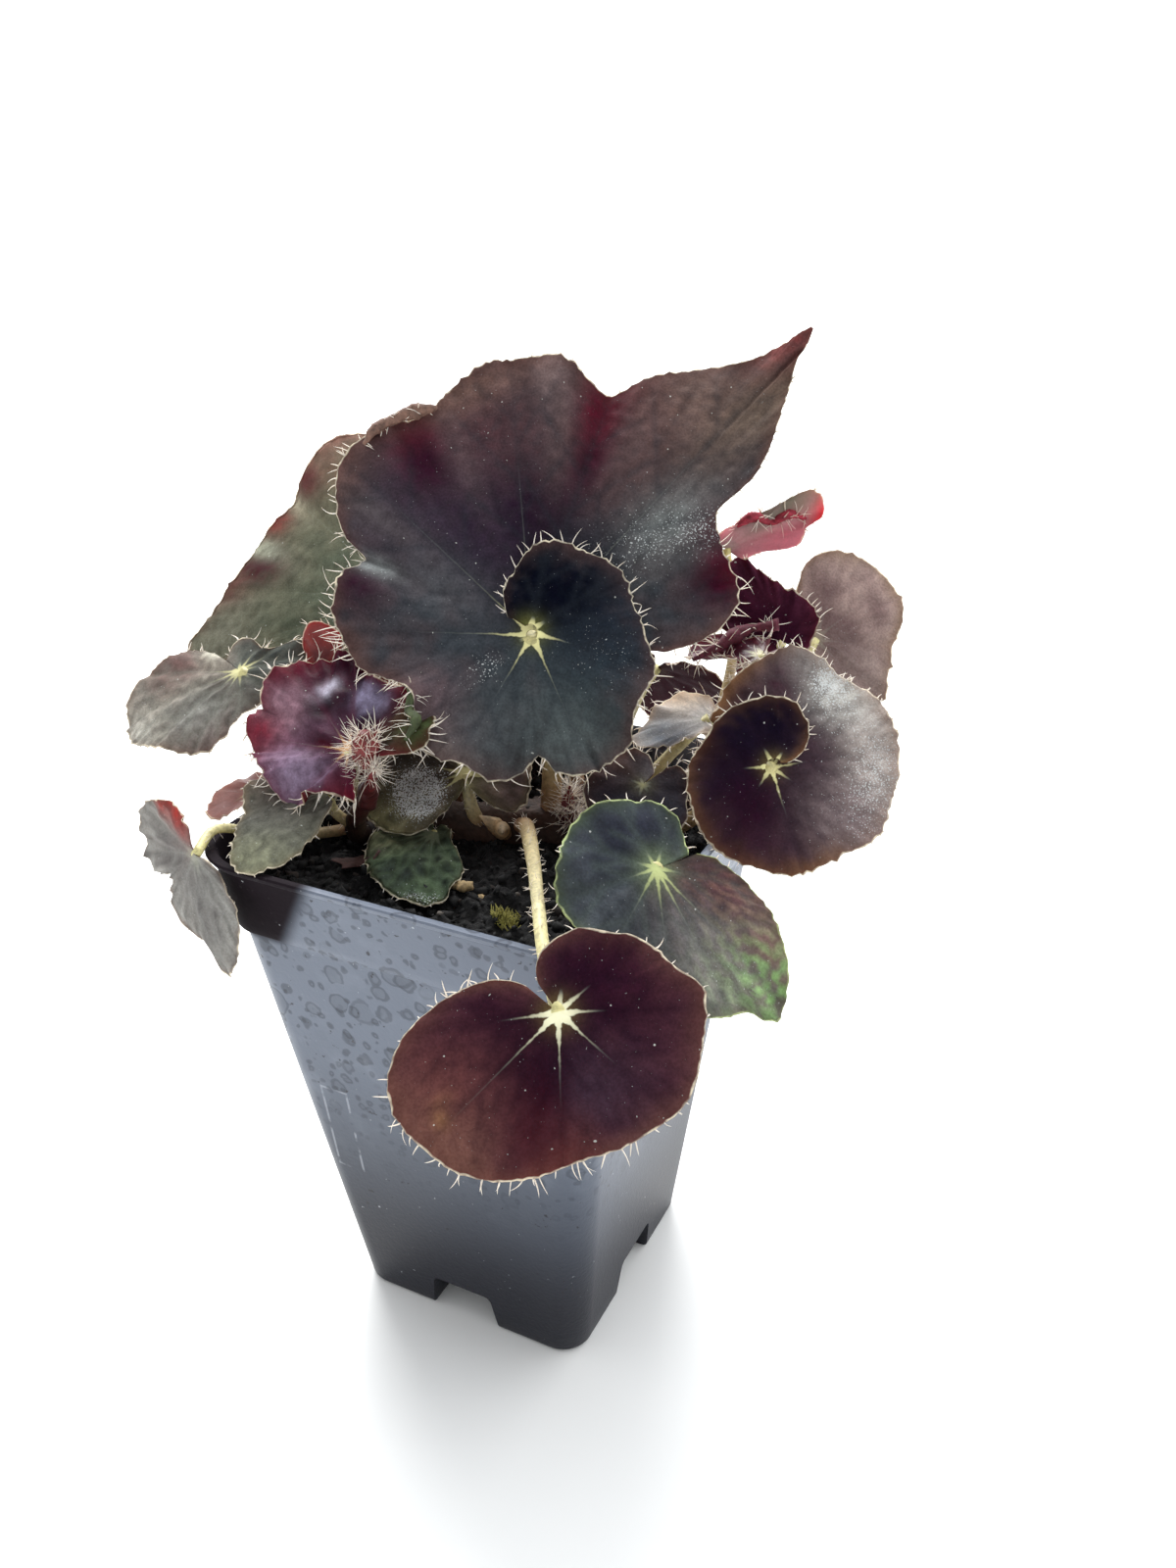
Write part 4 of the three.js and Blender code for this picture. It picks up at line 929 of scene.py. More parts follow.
UNDER_DARK, UNDER_SHARE, UNDER_FROST_AND_SHEEN = 0.7, 0.75, 0.3
SIDE_VEIN_WEIGHT, FLAT_WITHIN, RIM_CALM = 1.2, 5, 0.6
GROOVE_WIDTH, ROUGH_LENGTH, RIPPLE_FROM, RIPPLE_LENGTH = 1.6, 6, 0.6, 9
# What a blade has unless its own call says otherwise. Its plane is bowed by cup, waved by wave,
# folded by fold and wound by lift. Between veins it rises by puff in cells that wide, main veins
# lie in a groove, rough and ripple shake it, and hairy, fringe and curl set its hairs.
LEAF_PLAIN = dict(
    cup=-2, wave=(6, 1, 0), fold=(0, 0), lift=None, puff=0.25, groove=0.25, rough=0.1, ripple=0.5,
    valleys=(), hairy=0.4, fringe=[(0, 3)], curl=0.8, tooth=0.7, cells=2.3, sides=1,
    under=(110, 62, 60),
)
# And how its skin looks: see paint and leaf_material.
LOOK_PLAIN = dict(
    rim_share=0.7, fold_shade=0.12, mottle=0.07, vein_share=0.3, halo=3, halo_colour=(140, 140, 70),
    star=1, star_size=1, star_colour=(250, 244, 178), line=(250, 240, 214), frost_and_sheen=0.03, glow=0.1,
    through=(120, 50, 45), rough=0.55, shine=0.015, spots=(), patches=(), frost_and_sheen_spots=(), glows=(),
)


def leaf_frame(face):
    """Unit vectors across, up along and out of a blade that faces an azimuth and elevation."""
    a, e = np.radians(face)
    out = np.array([math.sin(a) * math.cos(e), -math.cos(a) * math.cos(e), math.sin(e)])
    across = np.array([math.cos(a), math.sin(a), 0])
    return across, np.cross(out, across), out


def smooth(pairs, x):
    """A cubic through [x, y] pairs whose slope at each is the harmonic mean of its neighbours'
    slopes, or 0 at a turning point, so that it never overshoots."""
    xs, ys = np.array(pairs, float).T
    slopes = np.diff(ys) / np.diff(xs)
    product = slopes[:-1] * slopes[1:]
    total = np.where(product > 0, slopes[:-1] + slopes[1:], 1)
    inner = np.where(product > 0, 2 * product / total, 0)
    tangents = np.concatenate([slopes[:1], inner, slopes[-1:]])
    i = np.clip(np.searchsorted(xs, x) - 1, 0, len(xs) - 2)
    width = xs[i + 1] - xs[i]
    t = (x - xs[i]) / width
    m0, m1 = tangents[i] * width, tangents[i + 1] * width
    rise = ys[i] + t * m0 + t**2 * (3 * (ys[i + 1] - ys[i]) - 2 * m0 - m1)
    return rise + t**3 * (2 * (ys[i] - ys[i + 1]) + m0 + m1)


def margin_samples(leaf, draw):
    """Angles along a margin a grid step apart, the distance to the toothed margin at each, and
    the angles of the teeth. Teeth rise to points and the margin sags between them. The sample
    nearest each main vein is moved onto it."""
    edge = leaf["edge"]
    fine = np.linspace(edge[0][0], edge[-1][0], EDGE_SAMPLES)
    reach = smooth(edge, fine)
    step = np.hypot(np.diff(reach), reach[1:] * np.radians(np.diff(fine)))
    length = np.concatenate([[0], np.cumsum(step + TURN_LENGTH * np.radians(np.diff(fine)))])
    count = int(length[-1] / GRID_STEP)
    angles = np.interp(np.linspace(0, length[-1], count), length, fine)
    for vein, _ in leaf["veins"]:
        angles[np.abs(angles - vein).argmin()] = vein
    marks = np.cumsum(draw.uniform(*TOOTH, int(length[-1] / TOOTH[0]) + 2)) - TOOTH[0]
    marks = marks[marks < length[-1] - 1]
    way = np.interp(angles, fine, length)
    i = np.clip(np.searchsorted(marks, way) - 1, 0, len(marks) - 2)
    between = np.clip((way - marks[i]) / (marks[i + 1] - marks[i]), 0, 1)
    tall = draw.uniform(*TOOTH_TALL, len(marks) + 1)
    tooth = np.abs(2 * between - 1) ** TOOTH_POINT * np.where(between < 0.5, tall[i], tall[i + 1])
    size = leaf["tooth"] * np.minimum(1, TOOTH_SHARE * smooth(edge, angles))
    bays = BAY_SIZE * blotches(way, 0 * way, BAY_LENGTH, int(draw.integers(1000)))
    reach = smooth(edge, angles) * (1 + 0.02 * bays) + size * (tooth - 0.35) * (1 + 0.5 * bays)
    return angles, reach, np.interp(marks, length, fine)


def ring_shares(furthest, bore):
    """Shares of the way from the joint to the margin: rings close together at both ends."""
    radius, rings = bore, [bore]
    while radius < furthest - RIM_LAST:
        radius += min(RING_FIRST + RING_GROWTH * (radius - bore), GRID_STEP)
        rings.append(radius)
    rings = np.array(rings + [furthest - inset for inset in RIM_RINGS])
    return (rings - bore) / (furthest - bore)


def main_veins(leaf, angle, radius):
    """The distance from each place to its nearest main vein, how pale that vein is there, which
    is 1 at the joint and falls to 0 at the vein's own pale length, and how wide its ray is."""
    nearest = np.full(radius.shape, 99.0)
    pale = np.zeros(radius.shape)
    wide = np.ones(radius.shape)
    for middle, length in leaf["veins"]:
        turn = np.radians(np.clip(angle - middle, -80, 80))
        far = np.abs(radius * np.sin(turn)) + np.maximum(-radius * np.cos(turn), 0)
        here = np.clip(1 - radius / length, 0, 1) ** 0.8
        here *= RAY_FAR + (1 - RAY_FAR) * np.exp(-((radius / RAY_NEAR) ** 2))
        pale = np.where(far < nearest, here, pale)
        wide = np.where(far < nearest, min(1.25, 0.55 + length / 25), wide)
        nearest = np.minimum(nearest, far)
    return nearest, pale, wide


def side_veins(leaf, draw):
    """Side veins leave the main ones by turns to left and right and grow shorter outwards.
    Returns rows of x, y at both ends and the main vein's angle."""
    rows = []
    for angle, _ in leaf["veins"]:
        reach = float(smooth(leaf["edge"], angle))
        place, left = SIDE_FROM * reach + 2 / leaf["sides"], draw.random() < 0.5
        while place < SIDE_UNTIL * reach and reach > SIDE_LEAST:
            turn = math.radians(draw.uniform(*SIDE_TURN))
            heading = np.radians(angle) + (1 if left else -1) * turn
            side = min(0.6 * place + 3, 0.7 * (reach - place) + 2)
            start = place * np.array([math.cos(math.radians(angle)), math.sin(math.radians(angle))])
            end = start + side * np.array([math.cos(heading), math.sin(heading)])
            rows.append([*start, *end, angle])
            left = not left
            place += draw.uniform(0.7, 1.1) * (2.4 + 0.09 * reach) / leaf["sides"]
    return rows


def line_distance(x, y, angle, rows):
    """Distance from each place to the nearest of the side veins within a third of a turn."""
    best = np.full(x.shape, 99.0)
    for x1, y1, x2, y2, middle in rows:
        dx, dy = x2 - x1, y2 - y1
        t = np.clip(((x - x1) * dx + (y - y1) * dy) / (dx * dx + dy * dy), 0, 1)
        far = np.hypot(x - x1 - t * dx, y - y1 - t * dy)
        best = np.minimum(best, np.where(np.abs(angle - middle) < 120, far, 99))
    return best


def spot(g, angle, radius, wide, long):
    """1 at a polar place in the blade's plane, fading as a bell that is wide across the way out
    from the joint and long along it."""
    a = math.radians(angle)
    along = g["x"] * math.cos(a) + g["y"] * math.sin(a) - radius
    across = g["y"] * math.cos(a) - g["x"] * math.sin(a)
    bell = np.exp(-((along / long) ** 2 + (across / wide) ** 2) / 2)
    return bell * (np.abs(g["angle"] - angle) < 100)


def blend(base, colour, share):
    """Each row of base moved towards a colour by its own share."""
    return base + (linear(colour) - base) * np.clip(share, 0, 1)[..., None]


def paint(leaf, g):
    """The upper skin with its frost and painted sheen, the light that comes through with its share,
    and the lines. Colours run from the centre to the outer blade and the margin, then come listed
    spots, among them painted highlights, sheen and shade, blotches, painted light and shade of
    radial folds, darker veins, a faint painted bluish sheen, and a pale halo about the joint. A
    spot is its angle, its distance from the joint, its width and length, its colour, and how much
    of it shows."""
    look = leaf["look"]
    seed = leaf["seed"]
    x, y, share, radius = g["x"], g["y"], g["share"], g["radius"]
    wide = blotches(x, y, 11, seed)
    fine = blotches(x, y, 3.5, seed + 1) + 0.5 * blotches(x, y, 1.7, seed + 2)
    skin = np.zeros(x.shape + (3,)) + linear(look["centre"])
    skin = blend(skin, look["outer"], (share - 0.3 + 0.2 * wide) / 0.5)
    rim = np.exp(-(g["inward"] / (look["rim_width"] * (1 + 0.3 * wide))) ** 1.5)
    skin = blend(skin, look["rim"], rim * look["rim_share"])
    for angle, place, across, along, colour, amount in look["spots"]:
        skin = blend(skin, colour, amount * spot(g, angle, place, across, along) * (1 + 0.12 * fine))
    cells = blotches(radius * 0.6, np.radians(g["angle"]) * 22, 2.6, seed + 3)
    cells = np.clip(0.35 + 0.9 * cells, 0, 1)
    for angle, place, across, along, colour, amount in look["patches"]:
        skin = blend(skin, colour, amount * spot(g, angle, place, across, along) * cells)
    # Painted light and shade of the blade's radial folds: light and dark bands that grow towards the
    # margin.
    fold_shade = blotches(radius * 0.12, np.radians(g["angle"]) * 20, 2.4, seed + 4)
    fold_shade = fold_shade * share * look["fold_shade"]
    skin = skin * (1 + look["mottle"] * np.clip(fine, -1.5, 1.5) + fold_shade)[..., None]
    furrow = np.exp(-(g["nearest"] / FURROW_WIDTH) ** 2) * (1 - rim)
    skin = blend(skin, look.get("vein", look["centre"]), look["vein_share"] * furrow)
    # Every colour is darkened a little, and a faint painted bluish sheen is added to it.
    skin = skin * SKIN_DEPTH + PAINTED_BLUE_SHEEN
    halo = np.exp(-(radius / look["halo"]) ** 2)
    skin = blend(skin, look["halo_colour"], HALO_SHARE * halo * look["star"])
    # Frost: partly the velvet's real pale frosting and partly painted sheen, shown as pale specks.
    frost_and_sheen = np.zeros(x.shape) + look["frost_and_sheen"]
    for angle, place, across, along, amount in look["frost_and_sheen_spots"]:
        frost_and_sheen = frost_and_sheen + amount * spot(g, angle, place, across, along)
    glow = look["glow"] + RIM_GLOW * rim
    light = np.zeros(x.shape + (3,)) + linear(look["through"])
    for angle, place, across, along, colour, amount in look["glows"]:
        near = spot(g, angle, place, across, along)
        light = blend(light, colour, near * 1.2)
        glow = glow + amount * near
    glow = np.clip(glow, 0, 0.8) * (1 - np.exp(-(radius / STALK_SHADE) ** 2))
    half = look["star_size"] * STAR_HALF * g["wide"] * np.exp(-radius / STAR_FADE)
    half = half + VEIN_HALF
    lines = np.stack([half - g["main"], g["pale"] * look["star"], g["inward"]], axis=-1)
    return (
        np.concatenate([np.clip(skin, 0.002, 0.95), np.clip(frost_and_sheen, 0, 1)[..., None]], axis=-1),
        np.concatenate([light, glow[..., None]], axis=-1),
        np.concatenate([lines, glow[..., None]], axis=-1),
    )


def leaf_material(name, look):
    """Velvety skin in the points' own colour with fine grain and pale specks where it is frosted,
    which is partly its real frosting and partly painted sheen.
    The lines attribute holds the depth inside a main vein, that vein's paleness, and the
    distance in from the margin. They draw the star and the pale edge, which pass more light."""
    material, tree = new_material(name + " skin")
    skin = add_node(tree, "Attribute", attribute_name="skin")
    through = add_node(tree, "Attribute", attribute_name="through")
    lines = add_node(tree, "Attribute", attribute_name="lines").outputs["Vector"]
    depth, paleness, from_edge = add_node(tree, "SeparateXYZ", {0: lines}).outputs
    grain = noise_of(tree, 0.5, 3)
    dull = {"Color": skin.outputs["Color"], "Value": GRAIN_DARK}
    dull = add_node(tree, "HueSaturation", dull).outputs[0]
    colour = mix(tree, ramp(tree, grain, *GRAIN_RANGE), dull, skin.outputs["Color"])
    # Pale specks where the skin is frosted: partly real frosting and partly painted sheen.
    reach = spread(tree, skin.outputs["Alpha"], *FROST_AND_SHEEN_DEPTH)
    speck = maths(tree, "SUBTRACT", noise_of(tree, 0.35, 1, (4, 2, 8)), reach)
    colour = marked_with(tree, colour, ramp(tree, speck, *FROST_AND_SHEEN_EDGE), FROST_AND_SHEEN_SHARE, FROST_AND_SHEEN_COLOUR)
    dot = ramp(tree, noise_of(tree, 0.8, 0, (9, 2, 5)), *DOT_RANGE)
    colour = marked_with(tree, colour, dot, DOT_SHARE, DOT_COLOUR)
    ragged = spread(tree, noise_of(tree, 1.3, 2, (8, 3, 3)), *RAY_RAGGED)
    inner = maths(tree, "ADD", depth, times(tree, ragged, paleness))
    pale = times(tree, ramp(tree, inner, *RAY_EDGE), paleness)
    wander = spread(tree, noise_of(tree, 3.5, 2, (6, 6, 1)), *LINE_WANDER)
    inward = maths(tree, "ADD", from_edge, wander)
    edge = ramp(tree, inward, *(LINE_WIDTH + part for part in LINE_EDGE))
    broken = spread(tree, noise_of(tree, 1.8, 2, (1, 4, 9)), *LINE_BROKEN)
    edge = times(tree, edge, times(tree, broken, EDGE_SHARE))
    near = ramp(tree, paleness, *RAY_NEAR_PALE)
    star_colour = mix(tree, near, linear(FAR_RAY_COLOUR), linear(look["star_colour"]))
    line_colour = linear(look["line"])
    colour = mix(tree, edge, mix(tree, pale, colour, star_colour), line_colour)
    light = mix(tree, pale, through.outputs["Color"], star_colour)
    light = mix(tree, edge, light, line_colour)
    share = spread(tree, edge, through.outputs["Alpha"], LINE_LIGHT)
    inputs = {
        "Base Color": colour, "Roughness": look["rough"],
        "Normal": bumps(tree, grain, *LEAF_BUMP), "Specular IOR Level": look["shine"],
    }
    finish_thin(tree, inputs, share, light)
    return material


def blade_height(leaf, angle, share, radius):
    """How far the middle of a blade stands off its plane: cup r^2 / 1000, ruffles that grow with
    the cube of the share, a fold, the lift of a winding blade, and a slow arch."""
    waves, size, start = leaf["wave"]
    fold_angle, fold = leaf["fold"]
    side = radius * np.sin(np.radians(angle - fold_angle))
    along = radius * np.cos(np.radians(angle + 90))
    height = leaf["cup"] * radius**2 / 1000
    height = height + size * share**3 * np.sin(np.radians(waves * angle + start))
    height = height + fold * (np.hypot(side, CREASE) - CREASE)
    if leaf["lift"]:
        height = height + smooth(leaf["lift"], angle)
    return height - along**2 / 2000


def blade_grid(leaf, draw):
    """The polar grid of a blade with all that its shape and paint need at each place."""
    bore = SPIRAL_BORE if leaf["lift"] else 0
    angles, reach, teeth = margin_samples(leaf, draw)
    share, angle = np.meshgrid(ring_shares(reach.max(), bore), angles, indexing="ij")
    radius = bore + share * (reach - bore)
    x, y = radius * np.cos(np.radians(angle)), radius * np.sin(np.radians(angle))
    main, pale, wide = main_veins(leaf, angle, radius)
    side = line_distance(x, y, angle, side_veins(leaf, draw))
    nearest = np.minimum(main, side * SIDE_VEIN_WEIGHT)
    seed = leaf["seed"]
    away = np.clip(radius / FLAT_WITHIN, 0, 1)
    calm = 1 - RIM_CALM * share**4
    relief = leaf["puff"] * (1 - np.exp(-(nearest / leaf["cells"]) ** 2)) * away * calm
    relief -= leaf["groove"] * np.exp(-(main / GROOVE_WIDTH) ** 2) * away
    relief += leaf["rough"] * blotches(x, y, ROUGH_LENGTH, seed + 5) * away
    for middle, width, depth in leaf["valleys"]:
        relief -= depth * np.exp(-(((angle - middle) / width) ** 2)) * share**2.5
    along = np.radians(angle) * reach
    rippled = leaf["ripple"] * np.clip((share - RIPPLE_FROM) / 0.4, 0, 1) ** 1.5
    relief += rippled * blotches(along, 0 * along, RIPPLE_LENGTH, seed + 6)
    height = blade_height(leaf, angle, share, radius) + relief
    inward = (1 - share) * (reach - bore)
    return dict(angle=angle, share=share, radius=radius, x=x, y=y, main=main, nearest=nearest,
                pale=pale, wide=wide, height=height, inward=inward, teeth=teeth)


def blade_points(leaf, g, side):
    """Places on one face of a blade: side is 1 for the upper and -1 for the lower."""
    across, up, out = leaf_frame(leaf["face"])
    thick = EDGE_BLADE + (BLADE - EDGE_BLADE) * (1 - g["share"] ** 8)
    height = g["height"] + side * thick / 2
    flat = g["x"][..., None] * across + g["y"][..., None] * up
    return np.array(leaf["joint"]) + flat + height[..., None] * out


def sheet(grid, turn=1):
    """Quads between the neighbours in a grid of point numbers, turned over where turn is -1 or
    where the grid is given on its side."""
    corners = [grid[:-1, :-1], grid[1:, :-1], grid[1:, 1:], grid[:-1, 1:]]
    return np.stack(corners, -1)[..., ::turn].reshape(-1, 4)


def blade_mesh(leaf, g):
    """Both faces, the margin between them, and the two cut sides that meet at the joint. A
    winding blade has a small bore there, and any other comes together in one point a face."""
    rings, count = g["x"].shape
    upper = np.arange(rings * count).reshape(rings, count)
    keep = slice(0, None)
    if not leaf["lift"]:
        upper = np.maximum(upper - (count - 1), 0)
        keep = slice(count - 1, None)
    sides = [blade_points(leaf, g, side).reshape(-1, 3)[keep] for side in (1, -1)]
    points = np.concatenate(sides)
    lower = upper + len(points) // 2
    start = 0 if leaf["lift"] else 1
    both = np.stack([upper, lower])
    quads = [sheet(upper[start:]), sheet(lower[start:], -1), sheet(both[:, -1])]
    quads += [sheet(both[:, :, 0]), sheet(both[:, :, -1].T)]
    if leaf["lift"]:
        quads.append(sheet(both[:, 0].T))
        return points, [np.concatenate(quads)], keep
    fans = [np.stack([grid[0, :-1], grid[1, :-1], grid[1, 1:]], -1)[:, ::turn]
            for grid, turn in ((upper, 1), (lower, -1))]
    return points, [np.concatenate(quads), np.concatenate(fans)], keep


def margin_hairs(leaf, g, draw):
    """A hair on each tooth and some between them, pointing outwards in the blade's own plane.
    Their length follows the fringe's angles, and short ones are fewer."""
    top = (blade_points(leaf, g, 1) + blade_points(leaf, g, -1)) / 2
    column = np.searchsorted(g["angle"][0], g["teeth"])
    more = draw.integers(0, top.shape[1], int(len(column) * leaf["hairy"]))
    column = np.concatenate([column, more]).clip(1, top.shape[1] - 2)
    turns, reaches = np.array(leaf["fringe"], float).T
    length = np.interp(g["angle"][0, column], turns, reaches)
    kept = draw.random(len(column)) < np.clip(0.15 + length / 3, 0, 1)
    column, length = column[kept], length[kept]
    edge = top[-1, column]
    outward = edge - top[-5, column]
    outward /= np.linalg.norm(outward, axis=1)[:, None]
    ahead = top[-1, column + 1] - top[-1, column - 1]
    ahead /= np.linalg.norm(ahead, axis=1)[:, None]
    outward = outward - 0.85 * ahead * (outward * ahead).sum(axis=1)[:, None]
    outward /= np.linalg.norm(outward, axis=1)[:, None]
    out = leaf_frame(leaf["face"])[2]
    lean = 0.4 * draw.normal(size=(len(column), 1)) * ahead
    lean = lean + 0.3 * draw.normal(size=(len(column), 1)) * out
    length = length * draw.uniform(0.5, 1.15, len(column))
    width = draw.uniform(*MARGIN_HAIR_WIDTH, len(column))
    return hair_mesh(edge - 0.15 * outward, outward + lean, length, width, draw, leaf["curl"])


stalk_finish = painted_material("stalk skin", 0.42, 0.25, 0.08, 0.8)
leaves = {}


def add_blade(leaf, slot, draw):
    """The blade, painted on both sides, and the hairs on its margin."""
    name = leaf["name"]
    g = blade_grid(leaf, draw)
    points, faces, keep = blade_mesh(leaf, g)
    skin, through, lines = (part.reshape(-1, 4)[keep] for part in paint(leaf, g))
    under = blend(skin[:, :3] * UNDER_DARK, leaf["under"], np.full(len(skin), UNDER_SHARE))
    under = np.column_stack([under, UNDER_FROST_AND_SHEEN * skin[:, 3]])
    colours = {
        "skin": np.concatenate([skin, under]), "through": np.concatenate([through, through]),
        "lines": np.concatenate([lines, lines * [1, 0, 1, 1]]),
    }
    finish = leaf_material(name, leaf["look"])
    add_piece(name + "_blade", points, faces, finish, slot, ["leaf_" + name], colours)
    add_piece(name + "_fringe", *margin_hairs(leaf, g, draw), hair_finish, "stalk")


def add_stalk(leaf, route, thick, draw):
    """The stalk, which ends just under the blade, and its hairs. It thins from first to last
    and swells a little at the joint."""
    name, joint = leaf["name"], leaf["joint"]
    rise = float(smooth(leaf["lift"], LIFT_ANGLE)) if leaf["lift"] else 0
    end = np.array(joint) + (rise - STALK_UNDER) * leaf_frame(leaf["face"])[2]
    route = [*route, list(end)]
    length = sum(math.dist(a, b) for a, b in zip(route, route[1:]))
    first, last = thick
    radii = [first, (first + last) / 2, last, last * STALK_SWELL]
    rings = max(8, int(length / STALK_STEP))
    points, faces, share = tube(route, radii, rings, STALK_SIDES, STALK_KNOBS, leaf["seed"])
    skin = shaded(share, STALK_COLOURS, leaf["seed"], points, STALK_MOTTLE)
    piece = add_piece(name + "_stalk", points, faces, stalk_finish, "stalk", ["stalk_" + name], skin)
    clear = (points[:, 2] > STALK_BARE_Z) & (share < 0.97)
    if clear.any():
        normals = point_normals(piece)[clear]
        count = int(length * STALK_HAIRS_A_MM)
        hairs = hairs_on(points[clear], normals, count, STALK_HAIR, STALK_HAIR_WIDTH, draw)
        add_piece(name + "_stalk_hairs", *hairs, hair_finish, "stalk")


def add_leaf(name, slot, *, joint, face, edge, veins, stalk, thick, look, **more):
    """One leaf on its stalk. Face is the azimuth and elevation it looks to, edge its margin as
    angles and distances from the joint, and each vein its angle and its pale length. The stalk's
    route ends at the joint by itself. More is what differs from a plain leaf."""
    look = dict(LOOK_PLAIN, **look)
    leaf = dict(LEAF_PLAIN, name=name, joint=joint, face=face, edge=edge, veins=veins, look=look)
    leaf.update(more, seed=7 * len(leaves))
    leaves[name] = leaf
    draw = np.random.default_rng(leaf["seed"])
    add_blade(leaf, slot, draw)
    add_stalk(leaf, stalk, thick, draw)


# Slate leaves
# The largest leaf, whose lobes wind past each other at the stalk, and three more. They are
# velvety slate green to burgundy sheets, and their stalks stand in the rhizome.

add_leaf(
    "top", "leaf_slate", joint=(5.8, 4.5, 165.3), face=(24, 38),
    edge=[
        (-6, 28), (3, 40), (14, 44), (28, 45), (36, 48), (38, 60), (44.5, 74), (48.6, 85), (50.6, 95),
        (52, 88), (54.5, 80), (60, 74), (68, 67), (77, 60), (86, 65), (97, 66), (108, 62), (117, 57),
        (124, 60), (135, 60), (144, 54), (150, 49), (154, 41), (163, 43), (172, 43), (182, 40), (191, 37),
        (197, 32), (207, 28), (217, 30), (228, 33), (244, 31), (256, 32), (268, 29), (274, 26), (282, 30),
        (291, 32), (310, 31), (325, 27), (341, 27), (358, 24), (376, 22), (392, 23), (412, 21), (430, 21),
        (450, 18), (470, 13), (490, 9), (507, 6),
    ],
    veins=[
        (14, 4), (50, 62), (75, 4), (96, 40), (136, 42), (178, 26), (205, 3), (241, 17), (294, 22),
        (345, 9), (395, 3.5), (440, 3),
    ],
    stalk=[(5.5, 10, 118), (6, 11, 133), (6, 9, 150)], thick=(2.5, 2),
    look=dict(
        centre=(62, 68, 72), outer=(74, 68, 70), rim=(118, 88, 80), rim_width=3.4, vein=(46, 50, 54),
        fold_shade=0.16,
        # The pale grey spots near 42 and 155 degrees and the thin light streaks are painted sheen, and the
        # near black spots at 412 to 470 degrees are painted shade on the inner lobe that winds under.
        spots=(
            (62, 48, 14, 18, (86, 66, 64), 0.8), (70, 61, 7, 6, (100, 60, 60), 0.7),
            (104, 48, 12, 14, (84, 58, 60), 0.85), (135, 40, 8, 12, (68, 56, 66), 0.8),
            (90, 26, 8, 9, (38, 10, 28), 1), (118, 24, 8, 12, (48, 36, 50), 0.85),
            (48, 74, 5, 14, (120, 104, 88), 0.7), (73, 42, 3.4, 7, (56, 20, 36), 0.95),
            (75.5, 54, 4, 7, (86, 28, 42), 1), (121, 53, 4, 5, (90, 34, 48), 1),
            (122.5, 46, 3.6, 5, (56, 24, 40), 0.95), (161, 38.5, 5, 5, (52, 22, 37), 0.95),
            (17, 41, 5, 5, (48, 14, 30), 1), (27, 43.5, 7, 3.4, (78, 26, 42), 1),
            (155, 38, 1.5, 4, (176, 184, 182), 0.7), (42, 38, 4.5, 8, (124, 130, 128), 0.7),
            (112, 47, 2.2, 13, (100, 84, 84), 0.35), (84, 51, 2.2, 12, (104, 88, 86), 0.5),
            (66, 50, 2.6, 13, (98, 80, 78), 0.5), (141, 45, 2.4, 12, (96, 90, 90), 0.5),
            (30, 36, 2, 12, (84, 84, 84), 0.5), (270, 23, 16, 6, (84, 90, 90), 0.5),
            (289, 22, 6, 5, (122, 130, 126), 0.7), (219, 27.5, 7, 5, (134, 112, 114), 0.7),
            (238, 31, 5, 3, (130, 112, 104), 0.5), (88, 60, 2, 5, (140, 120, 118), 0.6),
            (110, 60, 14, 4, (124, 96, 84), 0.6), (58, 66, 8, 8, (118, 96, 86), 0.6),
            (52, 90, 4, 8, (128, 64, 62), 0.8), (140, 57, 7, 4, (116, 84, 74), 0.5),
            (152, 22, 5, 9, (92, 92, 94), 0.6), (345, 16, 9, 8, (42, 52, 60), 0.8),
            (372, 17, 8, 7, (46, 52, 60), 0.8), (213, 24, 3, 5, (112, 90, 96), 0.6),
            (288, 20, 10, 8, (70, 80, 80), 0.6), (250, 20, 10, 8, (78, 82, 84), 0.6),
            (445, 10, 7, 6, (6, 5, 14), 1), (412, 12, 7, 7, (8, 8, 18), 0.98),
            (470, 5, 6, 5, (8, 8, 18), 0.9), (60, 20, 7, 7, (40, 44, 50), 0.7),
        ),
        frost_and_sheen_spots=(
            (38, 36, 4, 9, 0.3), (33, 43, 3.5, 4, 0.4), (155, 37, 1.4, 3, 0.3), (47, 28, 5, 10, 0.25),
            (345, 18, 5, 8, 0.2), (217, 12, 2, 4, 0.5),
        ),
        # The last three glows let less light through where the inner lobe is in painted shade.
        glows=(
            (75, 54, 4, 8, (150, 40, 50), 0.14), (121, 51, 4, 6, (140, 44, 50), 0.12),
            (19, 43, 3, 7, (150, 46, 54), 0.15), (445, 10, 8, 7, (20, 20, 60), -0.05),
            (412, 12, 8, 7, (20, 20, 60), -0.05), (470, 6, 8, 6, (20, 20, 60), -0.05),
        ),
        through=(120, 60, 50), glow=0.05, star_size=1.2,
    ),
    cup=-0.5, wave=(9, 1.6, 40), hairy=0.75, ripple=0.7, rough=0.16,
    valleys=((75, 4.5, 3.5), (124, 5, 2.5), (154, 6, 2.5)),
    fringe=[
        (-6, 3.5), (14, 4.6), (34, 4.2), (42, 3), (50, 1.8), (78, 1.2), (86, 3.6), (94, 1.2), (125, 1.2),
        (138, 3.2), (165, 4.8), (200, 4.6), (270, 4.6), (310, 3.4), (360, 3.6), (420, 3.4), (507, 2.6),
    ],
    lift=[(-6, -1.8), (60, -0.4), (200, 0), (290, 0.4), (345, 1.6), (400, 3), (507, 4)],
)
